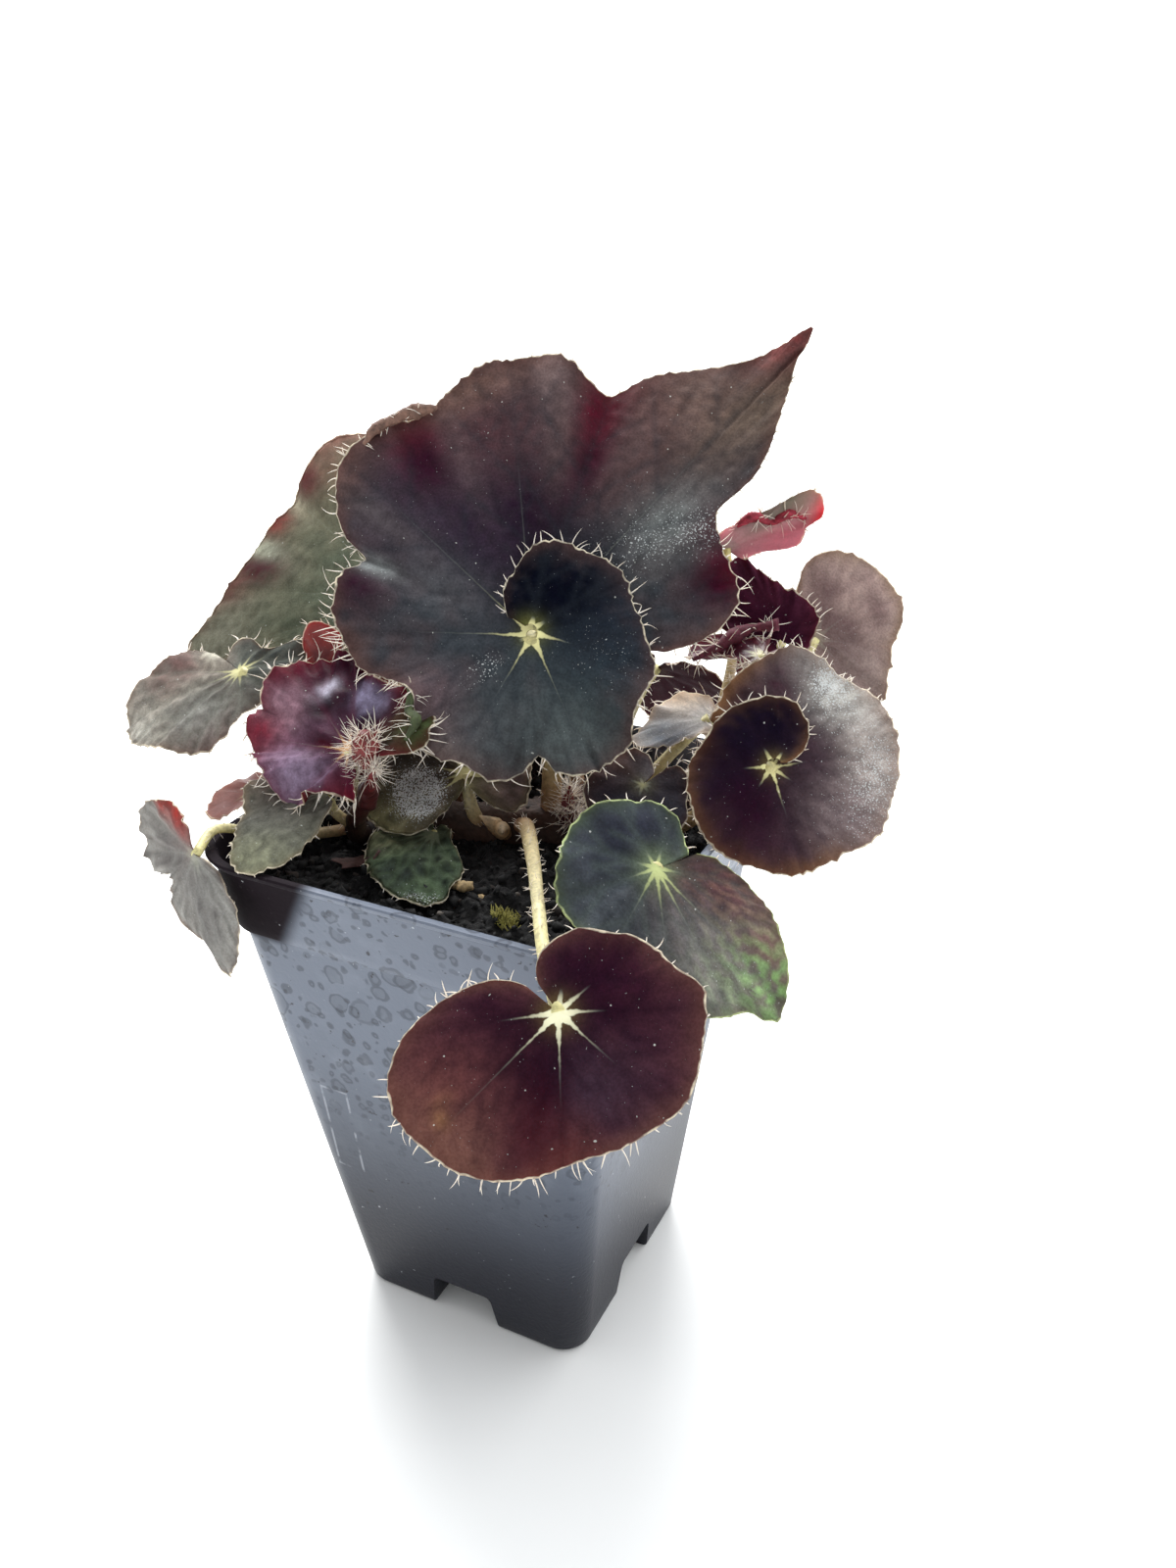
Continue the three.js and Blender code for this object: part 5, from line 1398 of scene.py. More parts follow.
add_leaf(
    "left", "leaf_slate", joint=(-63.5, -8, 150.3), face=(-10, 58),
    edge=[
        (-193, 13), (-186, 22), (-174, 27), (-163, 32), (-150, 34), (-138, 33), (-118, 27), (-90, 22),
        (-70, 19), (-53, 15), (-28, 12), (9, 11), (24, 13), (39, 15), (55, 16), (63, 13), (70, 8), (90, 8),
        (113, 10), (133, 11), (166, 8),
    ],
    veins=[
        (-167, 24), (-144, 16), (-118, 6), (-88, 5), (-50, 6), (-10, 4), (40, 5), (64, 10), (102, 8),
        (135, 4),
    ],
    stalk=[(-37, -4, 117.5), (-43, -4, 130), (-53, -4, 144)], thick=(1.9, 1.4),
    look=dict(
        centre=(122, 126, 118), outer=(146, 141, 130), rim=(158, 138, 120), rim_width=1.4,
        vein=(142, 144, 132), glow=0.16, halo=2.5, halo_colour=(120, 124, 96), through=(150, 110, 90),
        mottle=0.2, star=0.6, star_size=0.7,
        # The pale grey and cream spots are painted highlights along the ridges.
        spots=(
            (-160, 9, 5, 6, (108, 82, 78), 0.9), (-50, 12, 5, 5, (96, 90, 82), 0.8),
            (40, 10, 9, 7, (54, 62, 58), 1), (-25, 10, 6, 6, (88, 86, 80), 0.8),
            (80, 7, 6, 5, (66, 70, 66), 1), (-78, 19, 6, 3, (118, 94, 88), 0.7),
            (-133, 30, 8, 4.5, (198, 194, 182), 0.8), (-75, 17, 5, 4, (112, 92, 86), 0.7),
            (-175, 18, 3.4, 9, (124, 92, 90), 0.8), (-148, 14, 3, 8, (184, 178, 164), 0.9),
            (-160, 21, 4, 7, (120, 96, 90), 0.7), (-118, 10, 3.4, 7, (96, 92, 84), 0.9),
            (-195, 12, 2, 5, (200, 194, 178), 0.6), (-196, 12, 3, 4, (206, 202, 184), 0.9),
            (-102, 14, 6, 5, (156, 156, 150), 0.6),
        ),
        frost_and_sheen_spots=((-140, 26, 6, 7, 0.25),),
    ),
    cup=-4, wave=(6, 1.2, 20), hairy=0.6, groove=0.6, puff=0.5,
    fringe=[(-191, 3), (-178, 2.8), (-160, 1.2), (-100, 0.8), (-75, 2.4), (9, 3.4), (60, 3.6), (157, 2.6)],
)
add_leaf(
    "right_front", "leaf_slate", joint=(51, -33, 140), face=(45, 48),
    edge=[
        (9, 6), (20, 7), (36, 9), (54, 11), (80, 14), (104, 15), (130, 17), (159, 18), (185, 19), (211, 19),
        (232, 23), (250, 25), (266, 27), (280, 29), (290, 30), (298, 35), (305, 33), (314, 29), (326, 24),
        (340, 19), (352, 14), (368, 8),
    ],
    veins=[(60, 4), (105, 4), (150, 4), (187, 6), (228, 14), (262, 18), (285, 26), (302, 30), (340, 5)],
    stalk=[(24, 9, 118), (35, -6, 123), (44, -20, 131)], thick=(1.9, 1.3),
    look=dict(
        centre=(52, 56, 62), outer=(72, 76, 82), rim=(96, 116, 84), rim_width=1.4, vein=(92, 104, 96),
        halo=3.8, halo_colour=(190, 212, 150), star_size=0.55, mottle=0.12,
        spots=(
            (110, 8, 8, 5, (46, 46, 58), 0.7), (300, 18, 8, 10, (118, 110, 106), 0.8),
            (303, 30, 7, 5, (140, 134, 118), 0.7), (288, 20, 5, 6, (150, 142, 140), 0.7),
            (209, 12, 7, 5, (84, 90, 94), 0.6), (83, 17, 8, 3, (70, 80, 76), 0.5),
            (335, 13, 5, 8, (92, 62, 64), 0.9), (316, 26, 4, 5, (136, 106, 98), 0.8),
            (290, 24, 3, 5, (146, 150, 130), 0.5), (290, 12, 3, 5, (112, 110, 114), 0.5),
        ),
        patches=(
            (303, 28, 5, 6, (152, 196, 122), 1.3), (330, 18, 5, 8, (124, 84, 72), 0.6),
            (288, 23, 4, 6, (168, 172, 152), 0.5), (318, 21, 4, 7, (150, 130, 124), 0.4),
        ),
        frost_and_sheen_spots=((295, 24, 5, 8, 0.2),), glow=0.14, through=(150, 130, 90), star=0.6,
        star_colour=(226, 236, 160), line=(206, 220, 160),
    ),
    cup=-3, wave=(7, 1.1, 30), fringe=[(20, 1.6), (100, 1.8), (200, 1.4), (290, 1.2), (364, 1.4)],
    hairy=0.2,
)
add_leaf(
    "low_right", "leaf_slate", joint=(30.4, 6.2, 134.7), face=(30, 60),
    edge=[
        (48, 4), (62, 6), (80, 8), (100, 10), (130, 10), (160, 11), (184, 13), (205, 13), (230, 12),
        (254, 12), (285, 14), (310, 13), (335, 10), (355, 10), (372, 10), (389, 9), (398, 5),
    ],
    veins=[(100, 2), (150, 3), (200, 2), (250, 3), (300, 2), (345, 2), (378, 2)],
    stalk=[(21, 11, 118), (26, 11, 126), (30, 7.5, 133)], thick=(1.4, 1),
    look=dict(
        centre=(70, 62, 60), outer=(74, 66, 68), rim=(110, 84, 70), rim_width=1.4, vein=(50, 48, 50),
        frost_and_sheen=0.05, star=0.35, star_size=0.45, star_colour=(214, 210, 150), halo=2.4,
        halo_colour=(170, 168, 120),
        spots=(
            (135, 10, 6, 4, (84, 64, 58), 0.9), (230, 8, 6, 5, (34, 32, 42), 0.95),
            (19, 8, 4, 4, (140, 140, 146), 0.8), (320, 9, 5, 5, (56, 56, 64), 0.8),
        ),
    ),
    cup=-3, wave=(5, 0.7, 0),
)

# Maroon leaves
# Near black red leaves with a bright star at the stalk. One leans out over the pot's front on a
# long stalk, and two stand at the back.

MAROON = dict(
    centre=(46, 22, 32), outer=(78, 46, 52), rim=(128, 90, 78), rim_width=2.6, vein=(32, 16, 26),
    through=(130, 40, 40),
)

add_leaf(
    "front", "leaf_maroon", joint=(48, -66, 129), face=(30, 40),
    edge=[
        (-222, 7), (-210, 12), (-196, 17), (-184, 22), (-172, 27), (-158, 31), (-145, 32), (-130, 31),
        (-113, 29), (-95, 26), (-75, 24), (-54, 25), (-34, 26), (-14, 25), (5, 25), (20, 21), (40, 19),
        (56, 16), (72, 15), (86, 13), (100, 11), (112, 9), (122, 6),
    ],
    veins=[(-175, 10), (-138, 26), (-91, 16), (-44, 13), (0, 8), (38, 7), (80, 4)],
    stalk=[(0.5, 5.5, 118.5), (8, -5, 125), (22, -27, 131), (34.5, -47.5, 134.5), (40, -56, 132.5)],
    thick=(1.9, 1.2),
    look=dict(
        MAROON, halo_colour=(150, 130, 80), star_colour=(254, 252, 214),
        # The bluish grey spot below the star, at -66 degrees, is a painted sheen.
        spots=(
            (-66, 14, 5, 5, (66, 52, 64), 0.8), (-45, 16, 5, 6, (68, 46, 56), 0.7),
            (-105, 13, 3, 6, (40, 14, 28), 0.85), (-112, 22, 3, 5, (70, 36, 42), 0.7),
            (-140, 27, 7, 4.5, (138, 98, 84), 0.8), (-175, 17, 5, 7, (60, 32, 44), 0.6),
            (-85, 22, 4, 3, (98, 58, 58), 0.7), (30, 12, 7, 6, (50, 20, 34), 0.8),
            (60, 10, 5, 5, (48, 20, 34), 0.7), (-10, 20, 6, 4, (74, 44, 52), 0.6),
            (-150, 22, 6, 6, (110, 66, 64), 0.7), (-141, 26, 1.2, 1, (150, 108, 74), 0.6),
            (-146, 24, 1, 1.4, (140, 96, 74), 0.5),
        ),
        glows=((-100, 20, 5, 8, (170, 50, 44), 0.12),),
    ),
    cup=-3.5, wave=(8, 0.9, 0), hairy=0.7, tooth=0.35,
    fringe=[
        (-222, 2.2), (-195, 3), (-175, 1.4), (-160, 2.6), (-140, 2.4), (-110, 3), (-60, 3.2), (-48, 1.4),
        (-20, 1), (20, 1), (32, 2.2), (50, 1.4), (90, 1.4), (122, 1),
    ],
    valleys=((-105, 9, 1.2),),
)
add_leaf(
    "right_spiral", "leaf_maroon", joint=(56, 14, 140.7), face=(35, 42),
    edge=[
        (-4, 3), (25, 8), (49, 13), (80, 15), (115, 15), (148, 15), (171, 17), (198, 19), (228, 21),
        (257, 22), (282, 23), (300, 23), (318, 26), (340, 27), (366, 29), (387, 30), (405, 28), (423, 30),
        (442, 26), (466, 21), (482, 17), (493, 16),
    ],
    veins=[
        (48, 3), (110, 4), (178, 6), (231, 5), (280, 11), (322, 5), (366, 8), (408, 4), (424, 4), (460, 3),
    ],
    stalk=[(31, 14, 118.5), (42, 16, 127), (51, 17, 134)], thick=(2, 1.4),
    look=dict(
        centre=(50, 36, 44), outer=(80, 62, 66), rim=(146, 106, 72), rim_width=2.8, rim_share=1,
        vein=(44, 30, 40), halo=2.4, halo_colour=(150, 130, 80), star_size=0.75,
        # The pale grey spots on the right part are painted sheen.
        spots=(
            (75, 9, 8, 6, (24, 14, 26), 0.95), (120, 9, 8, 6, (26, 16, 30), 0.95),
            (190, 10, 8, 7, (32, 20, 34), 0.9), (250, 16, 9, 6, (60, 38, 48), 0.8),
            (244, 9, 5, 5, (44, 12, 32), 0.9), (360, 23, 12, 5.5, (206, 194, 186), 0.9),
            (322, 20, 6, 7, (144, 128, 128), 0.8), (408, 23.5, 8, 5.5, (206, 204, 196), 0.9),
            (433, 20, 4, 7, (72, 44, 54), 0.9), (423, 26, 3, 4, (142, 134, 130), 0.6),
            (380, 10, 5, 5, (76, 58, 66), 0.7),
        ),
        frost_and_sheen_spots=((357, 24, 6, 5, 0.5), (409, 25, 3.5, 4, 0.7), (330, 21, 7, 6, 0.4), (395, 22, 7, 6, 0.4)),
        glow=0.12, through=(140, 90, 80),
    ),
    cup=-2.5, wave=(6, 0.8, 0), hairy=0.7,
    fringe=[
        (-4, 2), (60, 2.6), (150, 2.4), (200, 1), (280, 0.8), (340, 1.2), (400, 2.2), (430, 3.2), (493, 3),
    ],
    lift=[(-4, 3.4), (60, 2.6), (150, 1), (200, 0), (300, -0.2), (400, -1), (493, -2.2)],
)
add_leaf(
    "dark_maroon", "leaf_maroon", joint=(46, 48, 155), face=(10, 30),
    edge=[
        (-20, 5), (14, 7), (33, 9), (66, 11), (90, 12), (104, 14), (115, 18), (126, 23), (140, 21),
        (156, 18), (173, 14), (187, 9), (200, 5), (250, 4), (290, 4),
    ],
    veins=[(20, 4), (60, 5), (95, 6), (126, 8), (160, 5)], stalk=[(42, 42.5, 146.5), (43.5, 46.5, 151)],
    thick=(1.2, 0.9),
    look=dict(
        MAROON, centre=(66, 28, 46), outer=(80, 38, 54), rim=(100, 44, 60), rim_width=1, star=0,
        through=(150, 40, 60),
    ),
    cup=2, wave=(5, 0.8, 0), hairy=1.4, tooth=1.5, ripple=1, curl=0.6,
    fringe=[(-20, 3.4), (60, 3.4), (100, 2), (125, 1), (150, 1), (200, 3), (290, 3)],
)

PLAIN_EDGE = [
    (-165, 9), (-150, 17), (-120, 24), (-90, 27), (-60, 28), (-35, 30), (-22, 33), (-10, 29),
    (15, 26), (45, 24), (80, 22), (115, 20), (145, 15), (165, 8)]
PLAIN_VEINS = ((-140, 6), (-100, 9), (-60, 12), (-22, 14), (20, 12), (65, 9), (115, 6))


def turned(turn, scale):
    """The hidden leaves' shared outline and veins, turned and scaled."""
    edge = [(angle + turn, reach * scale) for angle, reach in PLAIN_EDGE]
    return dict(edge=edge, veins=[(angle + turn, length) for angle, length in PLAIN_VEINS])


add_leaf(
    "rear_left", "leaf_maroon", joint=(-18, 46, 142), face=(200, 42), **turned(-70, 0.95),
    stalk=[(6, 26, 118), (-4, 32, 130), (-14, 39, 138)], thick=(1.9, 1.3), look=MAROON, cup=-3,
    wave=(7, 1, 0),
)
add_leaf(
    "rear_middle", "leaf_maroon", joint=(9, 61, 138), face=(172, 40), **turned(-60, 0.9),
    stalk=[(9, 31, 118), (9, 42, 129), (9, 54, 136)], thick=(1.9, 1.3),
    look=dict(MAROON, centre=(50, 40, 42), outer=(80, 60, 56), glow=0.04), cup=-3, wave=(7, 1, 50),
    under=(58, 26, 36),
)

# Olive leaves
# Mottled green leaves with a red brown margin: a large one behind on the left, small ones close
# over the soil, and one at the back.

OLIVE = dict(
    centre=(78, 80, 68), outer=(98, 94, 82), rim=(122, 90, 82), rim_width=2, vein=(60, 62, 52),
    glow=0.14, through=(140, 100, 60), mottle=0.2,
)

add_leaf(
    "back_left", "leaf_olive", joint=(-33, 15.5, 164.5), face=(-12, 42),
    edge=[
        (-15, 16), (18, 24), (50, 28), (77, 34), (100, 42), (117, 53), (134, 58), (148, 63), (162, 59),
        (172, 61), (186, 61), (195, 65), (202, 73), (209, 52), (222, 34), (240, 26), (272, 21), (305, 18),
        (330, 15),
    ],
    veins=[
        (20, 4), (60, 4), (100, 20), (124, 30), (145, 66), (161, 60), (189, 44), (205, 50), (250, 5),
        (300, 4),
    ],
    stalk=[(-14, 6, 118), (-21, 13, 135), (-29, 17, 152)], thick=(2.1, 1.5),
    look=dict(
        OLIVE, centre=(92, 99, 82), outer=(116, 118, 98), rim=(148, 114, 98), rim_width=2.4,
        vein=(126, 128, 106), vein_share=0.2, mottle=0.12,
        spots=(
            (155, 57, 3.6, 5, (104, 46, 54), 0.95), (134, 50, 4, 12, (138, 100, 88), 0.7),
            (147, 53, 4, 9, (136, 112, 96), 0.7), (168, 59, 3.4, 5, (128, 64, 58), 0.95),
            (181, 54, 5, 9, (66, 32, 36), 1), (189, 60, 3.4, 5, (104, 60, 56), 0.85),
            (118, 47, 7, 6, (188, 146, 128), 0.85), (200, 60, 6, 9, (134, 132, 116), 0.7),
            (158, 44, 6, 8, (98, 94, 76), 0.5), (176, 60, 1.8, 8, (196, 200, 176), 0.8),
            (162, 58, 1.6, 8, (184, 178, 152), 0.7), (143, 62, 5, 4, (160, 120, 108), 0.7),
        ),
        glows=((140, 52, 16, 8, (160, 100, 80), 0.1),),
    ),
    cup=-1, wave=(8, 1.4, 0), puff=0.12, cells=3.5, sides=0.4, ripple=0.2,
    fringe=[(-15, 2), (120, 1.5), (190, 2.4), (260, 2), (330, 2)],
    valleys=((136, 5, 1.6), (163, 4, 1.3), (178, 4, 1.3)),
)
add_leaf(
    "rim_left", "leaf_olive", joint=(-30, -23.5, 133.7), face=(0, 80),
    edge=[
        (-20, 3), (20, 3), (60, 3), (113, 6), (141, 12), (155, 16), (170, 19), (193, 19), (215, 18),
        (232, 20), (248, 23), (260, 27), (270, 28), (276, 25), (284, 20), (292, 15), (303, 9), (320, 6),
    ],
    veins=[(150, 8), (180, 8), (215, 10), (240, 16), (264, 25), (285, 10)],
    stalk=[(-28, -16.5, 122), (-31, -20, 127)], thick=(1.3, 1.1),
    look=dict(
        OLIVE, star=0.2, centre=(92, 92, 84), outer=(100, 100, 88), rim=(138, 126, 98), rim_width=1.2,
        vein=(96, 96, 84),
        spots=(
            (235, 12, 5, 9, (88, 88, 84), 0.6), (266, 24, 5, 5, (136, 138, 112), 0.7),
            (175, 13, 6, 8, (132, 116, 108), 0.7), (294, 5, 4, 4, (124, 120, 110), 0.8),
        ),
    ),
    cup=-1, wave=(6, 0.9, 0), fringe=[(0, 1.2)], hairy=0.1, puff=0.5, rough=0.25,
)
add_leaf(
    "kidney", "leaf_olive", joint=(-11, 2, 131), face=(10, 55),
    edge=[
        (-62, 4), (-48, 8), (-38, 12), (-28, 15), (-15, 16), (10, 15), (40, 15), (70, 15), (104, 14),
        (135, 15), (152, 17), (160, 21), (178, 24), (197, 25), (214, 24), (230, 22), (243, 19), (252, 15),
        (262, 7), (275, 3),
    ],
    veins=[(-7, 11), (40, 6), (90, 5), (140, 6), (177, 14), (205, 10), (227, 18)],
    stalk=[(-8, 2, 118), (-9.5, 1, 123), (-10.5, 1.5, 127.5)], thick=(1.8, 1.4),
    look=dict(
        OLIVE, star=0.6, centre=(92, 84, 68), outer=(114, 108, 82), rim=(150, 146, 104), rim_width=1.8,
        spots=(
            (174, 19, 7, 7, (40, 24, 24), 1), (226, 19, 6, 5, (140, 136, 96), 0.85),
            (170, 9, 7, 6, (58, 44, 42), 0.9), (250, 14, 4, 6, (100, 84, 70), 0.6),
            (-5, 12, 8, 4, (116, 96, 96), 0.8), (212, 12, 7, 5, (110, 112, 100), 0.6),
        ),
        # These frosted spots are a painted glare.
        frost_and_sheen_spots=((209, 12, 4.4, 4, 1.6), (225, 11, 3, 3, 1)),
    ),
    wave=(6, 0.8, 90), puff=0.5, rough=0.2, fringe=[(-62, 1.2), (275, 1.4)], hairy=0.1,
)
add_leaf(
    "soil_green", "leaf_olive", joint=(-14.5, -7.5, 119.6), face=(10, 85),
    edge=[
        (-250, 4), (-207, 8), (-185, 11), (-160, 14), (-139, 16), (-121, 18), (-105, 21), (-90, 24),
        (-80, 26), (-66, 26), (-57, 22), (-46, 17), (-36, 10), (-15, 5), (40, 4), (80, 4),
    ],
    veins=[(-190, 8), (-150, 11), (-120, 14), (-95, 18), (-72, 20), (-50, 12)],
    stalk=[(-14, -1, 116), (-14.3, -5, 117.6)], thick=(1.1, 0.9),
    look=dict(
        OLIVE, star=0.2, centre=(60, 66, 54), outer=(68, 80, 64), rim=(96, 98, 68), rim_width=1.2,
        vein=(110, 130, 96), mottle=0.5,
        spots=(
            (-90, 12, 2, 5, (44, 48, 46), 0.8), (-70, 18, 2, 5, (84, 100, 76), 0.7),
            (-120, 12, 2, 4, (84, 100, 78), 0.6), (-155, 10, 4, 4, (116, 114, 88), 0.8),
            (-72, 15, 5, 1.6, (36, 42, 40), 0.8), (-100, 16, 2, 3, (34, 38, 38), 0.7),
        ),
        frost_and_sheen_spots=((-75, 24, 5, 1.8, 0.6),),
    ),
    cup=0, wave=(6, 0.4, 0), fringe=[(0, 1.2)], hairy=0.2, puff=0.7, rough=0.3,
)
add_leaf(
    "rear_far_left", "leaf_olive", joint=(-46, 34, 150), face=(240, 40), **turned(-80, 0.85),
    stalk=[(-5, 11.5, 118), (-20, 22, 133), (-36, 30, 144)], thick=(1.8, 1.2), look=OLIVE, cup=-3,
    wave=(6, 1, 20),
)

# Silver leaves
# Older leaves with a grey bloom and a tan margin. One of them hangs over the rim on a stalk that
# arches out.

SILVER = dict(
    star=0.2, centre=(112, 108, 106), outer=(128, 122, 118), rim=(150, 130, 112), rim_width=1.6,
    vein=(92, 88, 84), frost_and_sheen=0.1, glow=0.15, through=(150, 90, 70), halo_colour=(150, 140, 110),
)

add_leaf(
    "hanging_left", "leaf_silver", joint=(-44.5, -49.4, 128.4), face=(-10, 12),
    edge=[
        (-232, 6), (-222, 12), (-206, 17), (-189, 23), (-176, 26), (-162, 26), (-150, 21), (-143, 14),
        (-134, 12), (-125, 17), (-113, 20), (-93, 21), (-80, 25), (-72, 27), (-65, 25), (-53, 21),
        (-40, 15), (-31, 9), (-22, 4.5), (-12, 2.2),
    ],
    veins=[(-190, 14), (-165, 18), (-118, 10), (-92, 12), (-72, 20), (-45, 8)],
    stalk=[(-33, -6, 116.5), (-39, -20, 120), (-44.5, -33, 126), (-46.5, -41, 129.6)], thick=(1.4, 1),
    look=dict(
        SILVER, centre=(146, 144, 140), outer=(166, 164, 158), rim=(140, 122, 112), rim_width=0.8,
        vein=(184, 184, 178), glow=0.25, through=(170, 150, 140), fold_shade=0.3,
        spots=(
            (-224, 10, 2.2, 5, (176, 58, 50), 1), (-214, 15, 2, 4, (176, 62, 54), 0.9),
            (-80, 12, 3, 9, (118, 116, 114), 0.6), (-170, 12, 4, 8, (120, 116, 114), 0.6),
        ),
    ),
    cup=-3, wave=(5, 0.9, 0), fold=(-75, -0.15), fringe=[(0, 0.9)], hairy=0.1, puff=0.6, rough=0.3,
)
add_leaf(
    "right_back", "leaf_silver", joint=(50.6, 57, 153.3), face=(35, 38),
    edge=[
        (-100, 6), (-84, 9), (-72, 13), (-59, 18), (-46, 21), (-30, 19), (-8, 19), (8, 22), (25, 24),
        (42, 25), (60, 24), (77, 22), (88, 19), (98, 14), (115, 10), (138, 6), (180, 5), (225, 5),
    ],
    veins=[(-50, 12), (-10, 12), (33, 20), (62, 24), (90, 10)],
    stalk=[(41.5, 41, 143.5), (46, 45.5, 145.5), (49.5, 52, 149)], thick=(1.4, 1.1),
    look=dict(
        SILVER, centre=(122, 100, 98), outer=(178, 154, 146), rim=(160, 138, 112), rim_width=1.8,
        vein=(130, 108, 106),
        spots=((350, 12, 5, 8, (122, 100, 100), 0.6), (-40, 14, 5, 8, (150, 136, 130), 0.6)),
    ),
    cup=-3, fringe=[(0, 1)], hairy=0.1,
)
add_leaf(
    "silver", "leaf_silver", joint=(37, 27, 143), face=(20, 70),
    edge=[
        (-60, 3), (20, 3), (70, 4), (97, 7), (113, 10), (135, 11), (160, 12), (185, 14), (200, 18),
        (211, 17), (223, 13), (236, 9), (255, 5), (285, 4),
    ],
    veins=[(110, 6), (150, 8), (180, 8), (204, 12), (230, 6)],
    stalk=[(17, 15, 118), (26, 20, 130), (34, 25.5, 140)], thick=(1.7, 1.3),
    # Its near white colour and heavy frost are painted sheen on a blade seen at a glancing angle.
    look=dict(
        SILVER, centre=(246, 242, 236), outer=(255, 246, 232), rim=(246, 214, 180), frost_and_sheen=0.35,
        through=(250, 232, 214),
        spots=(
            (207, 12, 5, 5, (150, 160, 168), 0.95), (120, 9, 4, 3, (226, 196, 160), 0.6),
            (222, 10, 3, 4, (70, 76, 86), 0.8),
        ),
    ),
    cup=-3, wave=(5, 0.7, 0),
)

# Young leaves
# Small shiny red to purple leaves, thin enough for light to glow through. One is still rolled
# and one is a narrow ruffle.

YOUNG = dict(
    centre=(84, 34, 48), outer=(110, 48, 60), rim=(140, 70, 76), rim_width=1, vein=(60, 24, 38),
    glow=0.25, through=(180, 60, 70), star=0.6, rough=0.28, shine=0.5,
)

add_leaf(
    "glossy_young", "leaf_young", joint=(-24.5, -21.5, 144), face=(-5, 50),
    edge=[
        (0, 9), (14, 16), (28, 20), (43, 20), (66, 19), (86, 17), (103, 18), (120, 25), (135, 28),
        (148, 30), (158, 30), (165, 28), (178, 30), (190, 27), (205, 21), (225, 19), (245, 16), (262, 11),
        (283, 10), (304, 12), (318, 10),
    ],
    veins=[(63, 6), (114, 9), (147, 12), (186, 24), (240, 6), (290, 7)],
    stalk=[(-22.5, -20, 132), (-23.8, -20.5, 138.5)], thick=(1.3, 1.2),
    look=dict(
        YOUNG, centre=(44, 9, 24), outer=(82, 20, 38), rim=(136, 44, 56), rim_width=2, vein=(110, 60, 76),
        glow=0.12, through=(170, 30, 60), rough=0.34, shine=0.02, mottle=0.14, star_colour=(230, 180, 120),
        star_size=0.7, halo=1.6, halo_colour=(200, 160, 100),
        # The lavender and near white spots are painted highlights of the shiny skin.
        spots=(
            (169, 21, 6, 6, (176, 138, 152), 0.9), (200, 14, 4, 6, (140, 112, 134), 0.8),
            (227, 13, 4, 5, (156, 136, 162), 0.9), (163, 9, 4, 4, (110, 84, 102), 0.6),
            (120, 22, 10, 4.5, (46, 10, 26), 1), (146, 14.5, 3.4, 3, (20, 5, 15), 1),
            (112, 15, 2, 4, (28, 8, 22), 1), (90, 8, 3, 3, (34, 10, 26), 0.9),
            (137, 18, 2, 1.5, (206, 200, 218), 1), (99, 12.5, 2.2, 2.2, (150, 142, 172), 1),
            (85, 12, 2, 2, (144, 136, 164), 1), (180, 7, 2.2, 4, (60, 8, 20), 0.9),
            (182, 25, 3, 4, (134, 34, 50), 0.8), (150, 28, 5, 2.4, (96, 18, 34), 0.7),
            (30, 17, 5, 5, (70, 80, 50), 0.95),
        ),
    ),
    cup=0, wave=(7, 1.8, 60), puff=1.7, groove=0.4, rough=0.2, ripple=1.4, hairy=1.6, cells=5, sides=0.2,
    fringe=[(0, 3.8)], curl=1.1,
)
add_leaf(
    "tiny_red", "leaf_young", joint=(-46, -0.7, 152.8), face=(15, 15),
    edge=[
        (-30, 3), (24, 5.5), (55, 8), (85, 9), (100, 9.5), (120, 8), (140, 5.8), (165, 3.6), (200, 3),
        (240, 3),
    ],
    veins=[(50, 5), (95, 7), (130, 5)], stalk=[(-33, 0, 118), (-39.5, 4.5, 127), (-46.5, 3, 142)],
    thick=(1.2, 0.8),
    look=dict(
        YOUNG, centre=(128, 44, 40), outer=(160, 58, 48), rim=(150, 40, 44), glow=0.3,
        through=(190, 70, 60), star=0,
    ),
    cup=4, wave=(4, 0.5, 0), hairy=0.8, fringe=[(0, 2.6)],
)
add_leaf(
    "tuck_left", "leaf_young", joint=(-50, -23, 130), face=(-10, 72),
    edge=[
        (-60, 3), (0, 3), (60, 4), (110, 5), (147, 7), (183, 8), (215, 10), (240, 12), (252, 11), (268, 8),
        (290, 5),
    ],
    veins=[(150, 5), (200, 6), (246, 8)], stalk=[(-38, -6.5, 117.2), (-42.5, -13, 124), (-46, -20, 129.3)],
    thick=(1.1, 0.8),
    look=dict(
        YOUNG, centre=(150, 112, 108), outer=(176, 140, 134), rim=(190, 160, 150), glow=0.4,
        through=(210, 160, 150),
    ),
    cup=-3, wave=(4, 0.6, 0), fringe=[(0, 1.2)],
)
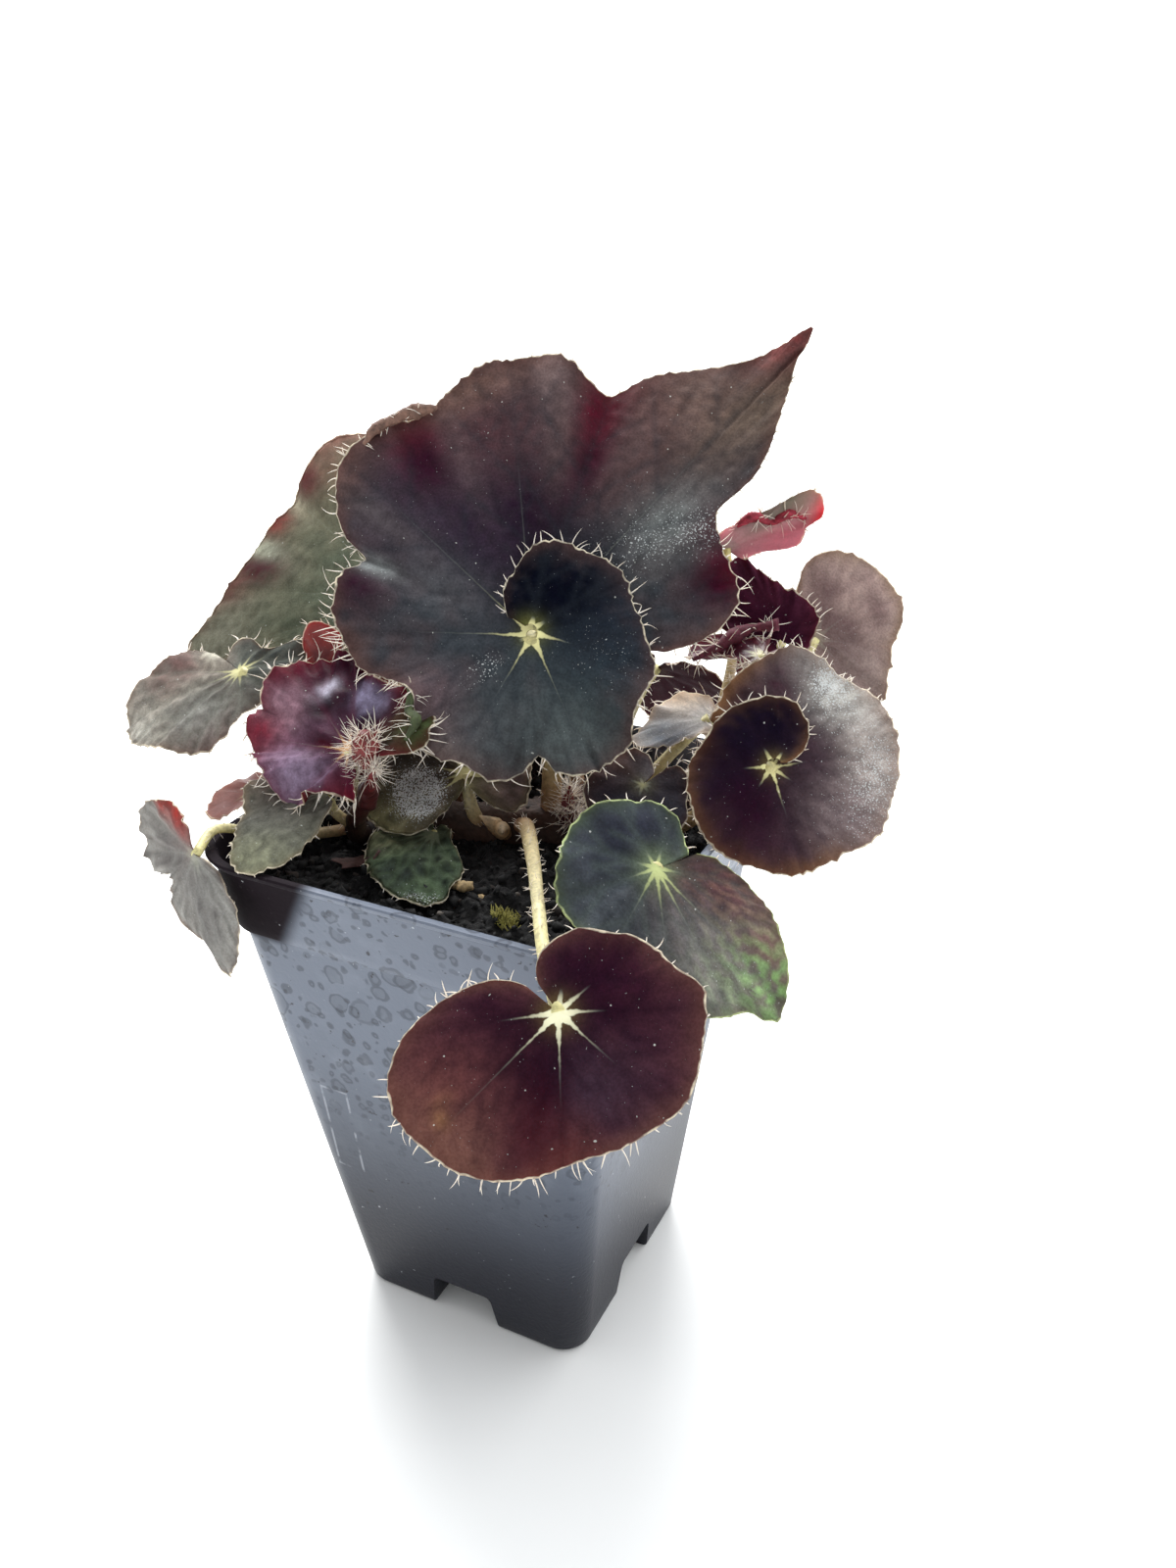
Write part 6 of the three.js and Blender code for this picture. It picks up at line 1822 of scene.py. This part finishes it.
add_leaf(
    "rolled_young", "leaf_young", joint=(27, 60, 171), face=(30, 20),
    edge=[
        (-40, 4), (-8, 8), (0, 16), (6, 18), (12, 19), (17, 24), (25, 25), (33, 23), (40, 14), (48, 10),
        (65, 6), (110, 4), (160, 3),
    ],
    veins=[(5, 6), (20, 10), (40, 6)], stalk=[(36, 31, 134), (34, 48, 150), (29, 58, 164)], thick=(1.5, 1),
    look=dict(
        YOUNG, centre=(186, 136, 146), outer=(178, 110, 122), rim=(196, 84, 96), glow=0.4,
        through=(236, 176, 186), vein=(206, 160, 168), star=0.2, rough=0.45,
        spots=(
            (27, 16, 3, 7, (128, 122, 110), 0.9), (8, 14, 2, 5, (196, 76, 92), 0.8),
            (22, 25, 3, 2, (206, 64, 78), 0.8), (38, 16, 2.4, 7, (112, 108, 96), 0.95),
            (60, 8, 2, 4, (120, 110, 104), 0.8), (14, 23, 2.4, 2, (220, 60, 72), 0.9),
            (358, 17, 3, 2.4, (216, 84, 88), 0.8), (355, 9, 3, 5, (190, 150, 166), 0.7),
        ),
        glows=(
            (38, 16, 2.2, 8, (150, 146, 126), 0), (30, 22, 3, 3, (170, 150, 130), 0),
            (14, 24, 2.4, 2, (230, 60, 70), 0), (357, 9, 3, 7, (226, 190, 206), 0),
        ),
    ),
    cup=2, wave=(5, 0.7, 0), fold=(18, 0.6), hairy=1.2,
    fringe=[(-40, 2), (0, 1.6), (30, 2.6), (45, 3), (160, 2)],
)
add_leaf(
    "ruffle", "leaf_young", joint=(44, 39.5, 154.6), face=(-10, 66),
    edge=[
        (90, 5), (124, 6), (150, 9), (168, 13), (178, 18), (189, 19), (197, 14), (207, 8), (222, 5),
        (240, 4), (260, 4), (320, 4), (400, 4),
    ],
    veins=[(140, 4), (180, 6), (205, 4)], stalk=[(40.3, 38.3, 141), (44, 37, 147)], thick=(1.2, 0.9),
    look=dict(YOUNG, centre=(78, 40, 58), outer=(104, 66, 82), rim=(128, 84, 98), rim_width=2), cup=-3,
    wave=(9, 1.2, 0), hairy=3, tooth=1.2, fringe=[(90, 4.6), (200, 3.6), (400, 4.6)], curl=1.2,
)

# Curled margins
# Where a blade's margin curls up into a lumpy lip: the rolled leaf's along its middle, a green
# one beside the shiny leaf, one at the top, and the ruffle's beaded one. All carry long hairs.

CURL_RINGS, CURL_SIDES, CURL_KNOBS = 30, 14, 0.12


def add_curl(name, seed, draw, leaf, places, radii, colour, count, length):
    """A curled margin on a leaf, as a lumpy bar through places that are each an angle, a
    distance from the joint and a height over the blade's plane, with count hairs on it."""
    across, up, out = leaf_frame(leaves[leaf]["face"])
    angles, reaches, heights = np.array(places, float).T
    turns = np.radians(angles)
    flat = np.outer(reaches * np.cos(turns), across) + np.outer(reaches * np.sin(turns), up)
    route = leaves[leaf]["joint"] + flat + np.outer(heights, out)
    points, faces, _ = tube(route, radii, CURL_RINGS, CURL_SIDES, CURL_KNOBS, seed)
    skin = plain_skin(points, colour, seed)
    piece = add_piece(name, points, faces, litter_finish, "leaf_young", (), skin)
    hairs = hairs_on(points, point_normals(piece), count, length, MARGIN_HAIR_WIDTH[0], draw)
    add_piece(name + "_hairs", *hairs, hair_finish, "stalk")


CURLS = {
    "rolled_young_lip": (
        "rolled_young", [(72, 4.6, 0.6), (47, 9.7, 1.6), (28, 12, 0.8), (27, 16.2, 1.8), (18, 20, 0.6)],
        (0.3, 1.3, 0.7, 1.2, 0.3), (150, 44, 60), 46, 4),
    "green_curl": (
        "glossy_young", [(75, 20, 1.5), (58, 18.5, 2.6), (45, 15.5, 1.8), (33, 17, 2.4), (20, 14, 1.4)],
        (0.4, 1.1, 0.8, 1.2, 0.4), (66, 76, 46), 44, 4.2),
    "top_curl": (
        "top", [(131, 57.5, -1), (127, 59, -1.2), (122, 58.5, -1.4), (118, 58, -1.4), (113, 56.5, -1.2)],
        (0.4, 1.3, 1, 1.7, 0.5), (112, 84, 72), 26, 2.6),
    "ruffle_lip": (
        "ruffle", [(206, 15.5, 0.8), (193, 10.5, 1.2), (150, 8, 1.6), (122, 8, 1.2), (92, 9, 1)],
        (0.5, 1, 1.9, 0.9, 1.4), (92, 34, 50), 44, 5),
}
draw = np.random.default_rng(41)
for seed, (name, curl) in enumerate(CURLS.items()):
    add_curl(name, seed, draw, *curl)
